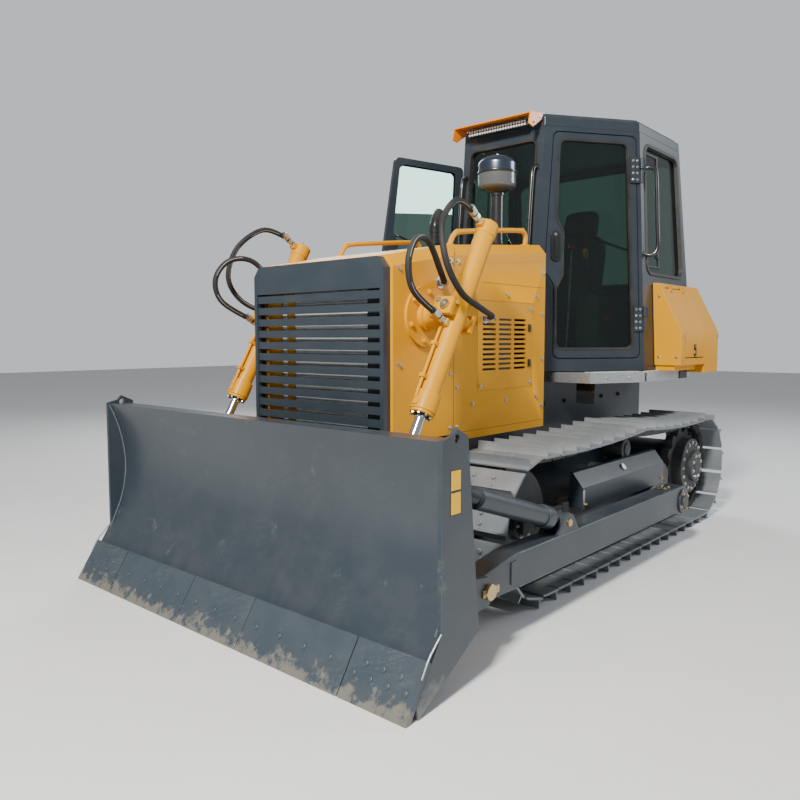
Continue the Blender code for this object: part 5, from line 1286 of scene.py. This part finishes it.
lean = Matrix.Translation((0, 2.165, 1.620)) @ Matrix.Rotation(math.radians(-12), 4, "X")
upright = Matrix.Rotation(math.radians(90), 4, "X")
cushion("seat_cushion", (0.255, 0.245, 0.070), Matrix.Translation((0, 1.950, 1.590)),
        (("x", -0.5), ("x", 0.5), ("y", 0.0)))
cushion("seat_back", (0.245, 0.330, 0.060), lean @ Matrix.Translation((0, 0.005, 0.350)) @ upright,
        (("x", -0.5), ("x", 0.5), ("y", -0.2), ("y", 0.4)))
cushion("seat_headrest", (0.145, 0.110, 0.048),
        lean @ Matrix.Translation((0, 0.020, 0.785)) @ upright)
bm = bmesh.new()
add_box(bm, (-0.17, 1.78, 1.2565), (0.17, 2.12, 1.300), 0.004)
add_box(bm, (-0.19, 1.76, 1.470), (0.19, 2.14, 1.520), 0.008)
for i in range(7):
    add_box(bm, (-0.155, 1.80, 1.302 + i * 0.024), (0.155, 2.10, 1.316 + i * 0.024), 0.006)
for x in (-0.05, 0.05):
    add_disc(bm, lean @ Vector((x, 0.010, 0.62)), lean @ Vector((x, 0.018, 0.72)), 0.007, 0.001, 12)
piece("seat_base", bm, rubber, "chassis", ["operator_seat"])
for side, tag in ((1, "left"), (-1, "right")):
    boxes, tops = bmesh.new(), bmesh.new()
    x0, x1 = sorted((side * 0.345, side * 0.515))
    add_box(boxes, (x0, 1.625, 1.2565), (x1, 2.195, 1.755), 0.010)
    add_box(tops, (x0 - 0.004, 1.615, 1.752), (x1 + 0.004, 2.199, 1.778), 0.008)
    add_lathe(tops, (side * 0.430, 1.720, 1.776), (side * 0.430, 1.716, 1.90),
              [(0, 0.036), (0.012, 0.030), (0.020, 0.032), (0.034, 0.022), (0.040, 0.024),
               (0.056, 0.013), (0.058, 0.0)], 20)
    line = smooth_route([(side * 0.43, 1.72, 1.78), (side * 0.425, 1.705, 1.88),
                         (side * 0.41, 1.645, 2.04)], 6)
    tube(f"hand_lever_{tag}", line, 0.0085, 12, gloss_black, "chassis")
    add_disc(tops, (side * 0.470, 1.90, 1.776), (side * 0.470, 1.90, 1.784), 0.020)
    piece(f"console_box_{tag}", boxes, desk, "chassis", [f"console_{tag}"])
    piece(f"console_top_{tag}", tops, rubber, "chassis")
    turned_piece(f"lever_knob_{tag}", (side * 0.411, 1.648, 2.020), (side * 0.405, 1.625, 2.105),
                 [(0, 0.010), (0.012, 0.016), (0.040, 0.023), (0.066, 0.020), (0.080, 0.010),
                  (0.084, 0.0)], 20, orange if side > 0 else rubber)
    turned_piece(f"isolator_knob_{tag}", (side * 0.5155, 1.78, 1.590), (side * 0.545, 1.78, 1.590),
                 [(0, 0.016), (0.010, 0.016), (0.012, 0.028), (0.024, 0.030), (0.030, 0.024),
                  (0.031, 0.0)], 20, red_knob)
for name, x, y, top, knob_finish in (("tall_lever", 0.420, 1.400, 2.070, red_knob),
                                     ("brake_lever", 0.300, 1.330, 1.640, rubber)):
    line = smooth_route([(x - 0.03, y - 0.03, 1.257), (x - 0.02, y - 0.01, 1.45), (x, y, top)], 8)
    tube(name, line, 0.0075, 12, zinc, "chassis")
    turned_piece(f"{name}_knob", (x, y, top - 0.012), (x, y, top + 1),
                 [(0, 0.008), (0.006, 0.019), (0.020, 0.026), (0.036, 0.022), (0.046, 0.010),
                  (0.048, 0.0)], 20, knob_finish)
pedals = bmesh.new()
for x in (-0.19, 0.0, 0.19):
    tilt = Matrix.Translation((x * 0.95, 1.300, 1.330)) @ Matrix.Rotation(math.radians(42), 4, "X")
    add_box(pedals, (-0.038, -0.055, -0.006), (0.038, 0.055, 0.006), 0.003, tilt)
    for i in range(5):
        add_box(pedals, (-0.034, -0.048 + i * 0.022, 0.005), (0.034, -0.040 + i * 0.022, 0.010),
                0.001, tilt)
    add_box(pedals, (x * 0.95 - 0.008, 1.290, 1.2565), (x * 0.95 + 0.008, 1.308, 1.330), 0.002)
piece("pedals", pedals, rubber, "chassis")
bm = bmesh.new()
add_box(bm, (-0.60, 1.50, 1.2562), (0.60, 2.40, 1.2600), 0.001)
add_box(bm, (-0.27, 1.10, 1.2562), (0.27, 1.50, 1.2600), 0.001)
piece("floor_mat", bm, rubber, "chassis")
skin("instrument_console", desk, 0.008, "chassis", segments=3)
dials, faces = bmesh.new(), bmesh.new()
panel_way = Vector((0.0, 0.13, 0.04)).normalized()
for x, radius in ((-0.13, 0.034), (-0.04, 0.045), (0.06, 0.045), (0.15, 0.034)):
    spot = Vector((x, 1.2215, 1.886))
    add_disc(dials, spot - panel_way * 0.012, spot + panel_way * 0.006, radius)
    add_disc(faces, spot, spot + panel_way * 0.0068, radius * 0.86, 0.0005)
piece("dial_rims", dials, gloss_black, "chassis")
piece("dial_faces", faces, lamp_lens, "chassis")

# ---------------------------------------------------------------- side boxes
# Folded yellow boxes flank the cab's rear: the left one, for the battery and tools, has a
# bent hatch on two small hinges with a black slam latch; the right one is the fuel tank.
skin("side_box_left", yellow, 0.005, "chassis", segments=3)
skin("hatch_left", yellow, 0.002, "hatch_left")
skin("fuel_tank_right", yellow, 0.005, "chassis", segments=3)
latch, shine = bmesh.new(), bmesh.new()
add_box(latch, (1.0355, 2.160, 1.302), (1.0435, 2.190, 1.392), 0.003)
add_box(latch, (1.0430, 2.167, 1.312), (1.0470, 2.183, 1.360), 0.0015)
piece("hatch_latch", latch, gloss_black, "hatch_left")
add_disc(shine, (1.0430, 2.175, 1.378), (1.0455, 2.175, 1.378), 0.0065, 0.0008, 16)
piece("hatch_keyway", shine, zinc, "hatch_left")
slope = Vector((1.036 - 0.858, 0, 1.485 - 1.840)).normalized()
slope_out = Vector((-slope.z, 0, slope.x))
rivets = [((0.860 + 0.060 * slope.x + 0.006, y, 1.840 + 0.060 * slope.z), slope_out)
          for y in (2.046, 2.074, 2.276, 2.304)]
bolts("hatch_rivets", rivets, yellow, "hatch_left", head=0.0038, tall=0.003)
fixings = []
for side in (1, -1):
    for y in (1.93, 2.66):
        for z in (1.275, 1.455):
            fixings.append(((side * 1.036, y, z), (side, 0, 0)))
    fixings += [((side * x, 1.900, z), (0, -1, 0)) for x, z in ((0.875, 1.30), (1.005, 1.30),
                                                                (0.865, 1.74))]
bolts("box_bolts", fixings, zinc, "chassis", head=0.007)
out_way = Vector((-(1.840 - 1.485), 0, 1.036 - 0.858)).normalized()
seat = Vector((-0.903, 2.200, 1.750)) + out_way * 0.040
turned_piece("filler_cap", seat, seat + out_way,
             [(0, 0.044), (0.0, 0.050), (0.004, 0.052), (0.022, 0.052), (0.026, 0.048),
              (0.027, 0.0)], 24, gloss_black)
sight = bmesh.new()
add_disc(sight, (-1.0355, 2.05, 1.38), (-1.042, 2.05, 1.38), 0.020)
piece("tank_sight", sight, lamp_lens, "chassis")

# ---------------------------------------------------------------- platform
# A hot-dip galvanised deck carries the cab. Its front edge is a row of punched, serrated
# treads over a folded edge band; a dark kick plate closes it under the boxes.
galvanised, tree, shader = new_material("galvanised")
place = add_node(tree, "ShaderNodeTexCoord").outputs["Object"]
spangle = add_node(tree, "ShaderNodeTexVoronoi", {"Vector": place, "Scale": 55.0})
drift = add_node(tree, "ShaderNodeTexNoise", {"Vector": place, "Scale": 2.6, "Detail": 6.0})
tone = blend_colour(tree, spangle.outputs["Distance"], (0.50, 0.51, 0.52, 1),
                    (0.64, 0.65, 0.66, 1))
tone = blend_colour(tree, math_node(tree, "MULTIPLY", drift.outputs["Fac"], 0.55), tone,
                    (0.36, 0.355, 0.34, 1))
tree.links.new(tone, shader.inputs["Base Color"])
shader.inputs["Metallic"].default_value = 0.85
tree.links.new(math_node(tree, "MULTIPLY_ADD", drift.outputs["Fac"], 0.35, third=0.28),
               shader.inputs["Roughness"])
relief = add_node(tree, "ShaderNodeBump", {"Height": spangle.outputs["Distance"], "Strength": 0.15,
                                           "Distance": 0.001})
tree.links.new(relief.outputs[0], shader.inputs["Normal"])
skin("platform", galvanised, 0.003, "chassis")
way = Vector((0.903 - 0.704, 1.585 - 1.165, 0))
step = way.normalized() * 0.021
TREAD = {"Radius": 0.0085, "Height": 0.005, "Sides": 10, "Turn": (0, 0, 0),
         "Material": galvanised}
for side, tag in ((1, "left"), (-1, "right")):
    inward = Vector((-way.y, way.x, 0)).normalized()
    for row in range(3):
        start = Vector((0.704, 1.165, 1.2020)) + inward * (0.014 + row * 0.030) + step * 0.8
        run_tree(f"treads_{tag}_{row}", lens_tree, [(side * start.x, start.y, start.z)],
                 {**TREAD, "Count": 21, "Step": (side * step.x, step.y, 0)}, "chassis")
    run_tree(f"side_treads_{tag}", lens_tree, [(side * 0.888, 1.600, 1.2020)],
             {**TREAD, "Count": 11, "Step": (0, 0.026, 0)}, "chassis")
    kick = bmesh.new()
    x0, x1 = sorted((side * 0.9035, side * 0.9105))
    add_box(kick, (x0, 2.230, 1.1305), (x1, 2.379, 1.198), 0.002)
    add_box(kick, (x0, 1.600, 1.1340), (x1, 1.604, 1.196), 0.001)
    piece(f"kick_plate_{tag}", kick, gloss_black, "chassis")
    bracket = bmesh.new()
    x0, x1 = sorted((side * 0.560, side * 0.700))
    add_box(bracket, (x0, 1.245, 0.985), (x1, 1.252, 1.129), 0.001)
    add_box(bracket, (x0, 1.252, 1.120), (x1, 1.330, 1.128), 0.001)
    piece(f"deck_bracket_{tag}", bracket, gloss_black, "chassis")
    joints = bmesh.new()
    for t in (0.30, 0.72):
        spot = Vector((0.704, 1.165, 1.165)).lerp(Vector((0.903, 1.585, 1.165)), t)
        add_disc(joints, (side * (spot.x - 0.004), spot.y + 0.002, 1.165),
                 (side * (spot.x + 0.005), spot.y - 0.0025, 1.165), 0.010, 0.001, 16)
    piece(f"edge_fixings_{tag}", joints, zinc, "chassis")

# ---------------------------------------------------------------- tracks
# Sealed steel chains carry single-grouser shoes, each held by four bolts; the shoes' front
# edges are bent down to tuck over the next. They are painted grey and scuffed on the bars.
shoe_steel = coated("shoe_steel", (0.230, 0.255, 0.275), (0.185, 0.205, 0.225), 0.42, dust=0.35,
                    grain=0.7, grain_scale=120.0, bump=0.0009, metallic=0.35, scratch=0.4,
                    scratch_colour=(0.50, 0.51, 0.52, 1), patch_scale=4.0)
link_steel = coated("link_steel", (0.040, 0.044, 0.048), (0.055, 0.056, 0.056), 0.45, dust=0.4,
                    grain=0.7, grain_scale=140.0, metallic=0.3)


SHOES = 43                                # shoes on each track
WHEEL_Z, CHAIN_RADIUS = 0.430, 0.310      # axle height, and the chain's bend round a wheel
SPROCKET_Y, CARRIER_Y = 2.470, 1.310      # from the front axle


def chain_path():
    """The closed line of a chain's pins, over the carrier roller and round both wheels."""
    low, high = WHEEL_Z - CHAIN_RADIUS, WHEEL_Z + CHAIN_RADIUS
    path = [(SPROCKET_Y * i / 12, low) for i in range(12)]
    path += [(SPROCKET_Y + CHAIN_RADIUS * math.cos(a), WHEEL_Z + CHAIN_RADIUS * math.sin(a))
             for a in (math.radians(-90 + 180 * i / 14) for i in range(15))]
    for i in range(1, 24):
        y = SPROCKET_Y * (1 - i / 24)
        t = y / CARRIER_Y if y < CARRIER_Y else (SPROCKET_Y - y) / 1.160
        path.append((y, high + 0.028 * t - 0.080 * t * (1 - t)))
    path += [(CHAIN_RADIUS * math.cos(a), WHEEL_Z + CHAIN_RADIUS * math.sin(a))
             for a in (math.radians(90 + 180 * i / 14) for i in range(14))]
    return [Vector(p) for p in path]


path = chain_path()
lengths = [(b - a).length for a, b in zip(path, path[1:] + path[:1])]
around = sum(lengths)
tangents = [(b - a).normalized() for a, b in zip([path[-1]] + path[:-1], path[1:] + path[:1])]


def on_chain(distance):
    """The point and the heading at a distance along the chain."""
    distance %= around
    i = 0
    while distance > lengths[i]:
        distance -= lengths[i]
        i += 1
    t = distance / lengths[i]
    return (path[i].lerp(path[(i + 1) % len(path)], t),
            tangents[i].lerp(tangents[(i + 1) % len(path)], t).normalized())


chain_tree, given, out = geometry_tree("pieces_along_chain", [("Piece", "o"), ("Material", "m")])
source = add_node(chain_tree, "GeometryNodeObjectInfo", {"Object": given.outputs["Piece"]},
                  transform_space="ORIGINAL")
turns = add_node(chain_tree, "GeometryNodeInputNamedAttribute", {"Name": "facing"},
                 data_type="FLOAT_VECTOR")
euler = add_node(chain_tree, "FunctionNodeEulerToRotation", {0: turns.outputs["Attribute"]})
laid = add_node(chain_tree, "GeometryNodeInstanceOnPoints",
                {"Points": given.outputs["Geometry"], "Instance": source.outputs["Geometry"],
                 "Rotation": euler.outputs[0]})
closing(chain_tree, laid.outputs[0], given.outputs["Material"], out)


def template(name, bm):
    """A shape used by a tree and then removed."""
    bmesh.ops.recalc_face_normals(bm, faces=bm.faces)
    mesh = bpy.data.meshes.new(name)
    bm.to_mesh(mesh)
    bm.free()
    made = bpy.data.objects.new(name, mesh)
    scene.collection.objects.link(made)
    return made


bm = bmesh.new()
shoe_section = [(-0.0860, 0.0555), (-0.0660, 0.0602), (0.0800, 0.0602), (0.0850, 0.0625),
                (0.0850, 0.0700), (0.0800, 0.0722), (0.0640, 0.0735), (0.0600, 0.0790),
                (0.0575, 0.1195), (0.0505, 0.1195), (0.0475, 0.0790), (0.0430, 0.0735),
                (-0.0640, 0.0722), (-0.0880, 0.0655)]
add_prism(bm, shoe_section, "X", -0.2235, 0.2235)
for x in (-0.062, 0.062):
    for y in (-0.035, 0.018):
        add_lathe(bm, (x, y, 0.0715), (x, y, 1), [(0, 0.0145), (0.009, 0.0145), (0.011, 0.012),
                                                  (0.011, 0.0)], 6)
shoe = template("shoe", bm)
bm = bmesh.new()
link_line = [(-0.094, 0.016), (-0.098, 0.030), (-0.092, 0.046), (-0.074, 0.0595),
             (0.050, 0.0595), (0.064, 0.052), (0.070, 0.036), (0.068, 0.012), (0.056, 0.001),
             (-0.080, 0.001)]
for low, high, shift in ((0.046, 0.060, 0.010), (0.061, 0.075, -0.006),
                         (-0.060, -0.046, 0.010), (-0.075, -0.061, -0.006)):
    add_prism(bm, [(y + shift, z) for y, z in link_line], "X", low, high)
add_lathe(bm, (-0.0775, -0.0815, 0.030), (1, -0.0815, 0.030),
          [(0, 0.014), (0.003, 0.017), (0.152, 0.017), (0.155, 0.014)], 12)
link = template("link", bm)
pitch = around / SHOES
for side, tag in ((1, "left"), (-1, "right")):
    spots, headings = [], []
    for i in range(SHOES):
        at, tangent = on_chain((i + 0.5) * pitch)
        spots.append((side * 0.825, at.x, at.y))
        along, out_way = Vector((0, tangent.x, tangent.y)), Vector((0, tangent.y, -tangent.x))
        square = Matrix((along.cross(out_way), along, out_way)).transposed()
        headings.append(tuple(square.to_euler()))
    for part, shape, material in (("shoes", shoe, shoe_steel), ("links", link, link_steel)):
        made = run_tree(f"track_{part}_{tag}", chain_tree, spots,
                        {"Piece": shape, "Material": material}, "chassis", headings)
        if part == "shoes":
            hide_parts(f"track_{tag}")
bpy.data.objects.remove(shoe)
bpy.data.objects.remove(link)

# ---------------------------------------------------------------- track frames and rollers
# Box-section frames carry six flanged rollers below and one above, and the recoil spring
# under a bolted slate cover; idlers and final drives are dark castings with bolted hubs.
shadow_steel = coated("frame_steel", (0.034, 0.038, 0.042), (0.045, 0.047, 0.048), 0.46, dust=0.4,
                      grain=0.6, grain_scale=140.0, coat=0.1)
COVER_X = 0.9970   # the spring cover's outer face


def bolt_ring(side, x, y, radius, count, first):
    """Places for bolts on a circle about a wheel's axle, facing outwards."""
    angles = [math.radians(360 / count * i + first) for i in range(count)]
    return [((side * x, y + radius * math.cos(a), WHEEL_Z + radius * math.sin(a)), (side, 0, 0))
            for a in angles]


for side, tag in ((1, "left"), (-1, "right")):
    skin(f"track_frame_{tag}", shadow_steel, 0.003, "chassis")
    skin(f"spring_cover_{tag}", slate, 0.003, "chassis")
    rollers = bmesh.new()
    for i in range(6):
        y = 0.44 + i * 0.31
        add_lathe(rollers, (side * 0.735, y, 0.2055), (side * 2, y, 0.2055),
                  [(-0.002, 0.0), (-0.002, 0.050), (0.0, 0.0855), (0.030, 0.0858), (0.050, 0.0856),
                   (0.130, 0.0856), (0.180, 0.0855), (0.184, 0.070), (0.186, 0.030), (0.196, 0.028),
                   (0.197, 0.0)], 28)
    add_lathe(rollers, (side * 0.745, CARRIER_Y, 0.688), (side * 2, CARRIER_Y, 0.688),
              [(-0.002, 0.0), (-0.001, 0.062), (0.002, 0.0708), (0.158, 0.0708), (0.162, 0.062),
               (0.163, 0.045), (0.172, 0.042), (0.176, 0.030), (0.177, 0.0)], 28)
    piece(f"rollers_{tag}", rollers, cast, "chassis")
    turned_piece(f"idler_wheel_{tag}", (side * 0.730, 0, WHEEL_Z), (side * 2, 0, WHEEL_Z),
                 [(0.0005, 0.060), (0.0005, 0.092), (0.004, 0.095), (0.050, 0.095),
                  (0.056, 0.100), (0.058, 0.240), (0.054, 0.262), (0.055, 0.296), (0.058, 0.299),
                  (0.132, 0.299), (0.135, 0.296), (0.136, 0.262), (0.132, 0.240), (0.134, 0.100),
                  (0.140, 0.095), (0.186, 0.095), (0.1895, 0.092), (0.1895, 0.060),
                  (0.1895, 0.0)], 48, cast, replaces=[f"idler_{tag}"])
    bolts(f"idler_bolts_{tag}", bolt_ring(side, 0.9195, 0.0, 0.072, 6, 0.0), zinc, "chassis",
          head=0.008)
    skin(f"sprocket_{tag}", cast, 0.003, "chassis")
    turned_piece(f"hub_face_{tag}", (side * 0.925, SPROCKET_Y, WHEEL_Z),
                 (side * 2, SPROCKET_Y, WHEEL_Z),
                 [(0, 0.200), (0.0055, 0.2155), (0.010, 0.212), (0.012, 0.150), (0.020, 0.122),
                  (0.046, 0.121), (0.051, 0.116), (0.053, 0.060), (0.056, 0.052), (0.060, 0.048),
                  (0.061, 0.0)], 40, cast)
    bolts(f"hub_bolts_{tag}", bolt_ring(side, 0.9365, SPROCKET_Y, 0.182, 16, 0.0)
          + bolt_ring(side, 0.9780, SPROCKET_Y, 0.086, 8, 20.0), zinc, "chassis")
    slope_way = Vector((side * (0.640 - 0.555), 0, 0.997 - 0.930)).normalized()
    spot = Vector((side * 0.9635, 1.130, 0.5975))
    grease = bmesh.new()
    add_disc(grease, spot - slope_way * 0.003, spot + slope_way * 0.012, 0.024, 0.003)
    add_box(grease, (side * COVER_X - 0.001, 0.520, 0.425), (side * COVER_X + 0.001, 0.545, 0.540))
    piece(f"grease_cap_{tag}", grease, zinc, "chassis")
    bolts(f"cover_bolts_{tag}", [((side * COVER_X, y, 0.450), (side, 0, 0)) for y in (0.560, 1.700)],
          gold_zinc, "chassis", head=0.009)
    adjuster = bmesh.new()
    add_disc(adjuster, (side * 0.955, 0.300, 0.430), (side * 0.975, 0.300, 0.430), 0.030, 0.004)
    add_box(adjuster, (side * 0.953 - 0.003, 0.060, 0.395), (side * 0.953 + 0.003, 0.250, 0.465),
            0.001)
    piece(f"idler_slide_{tag}", adjuster, shadow_steel, "chassis")
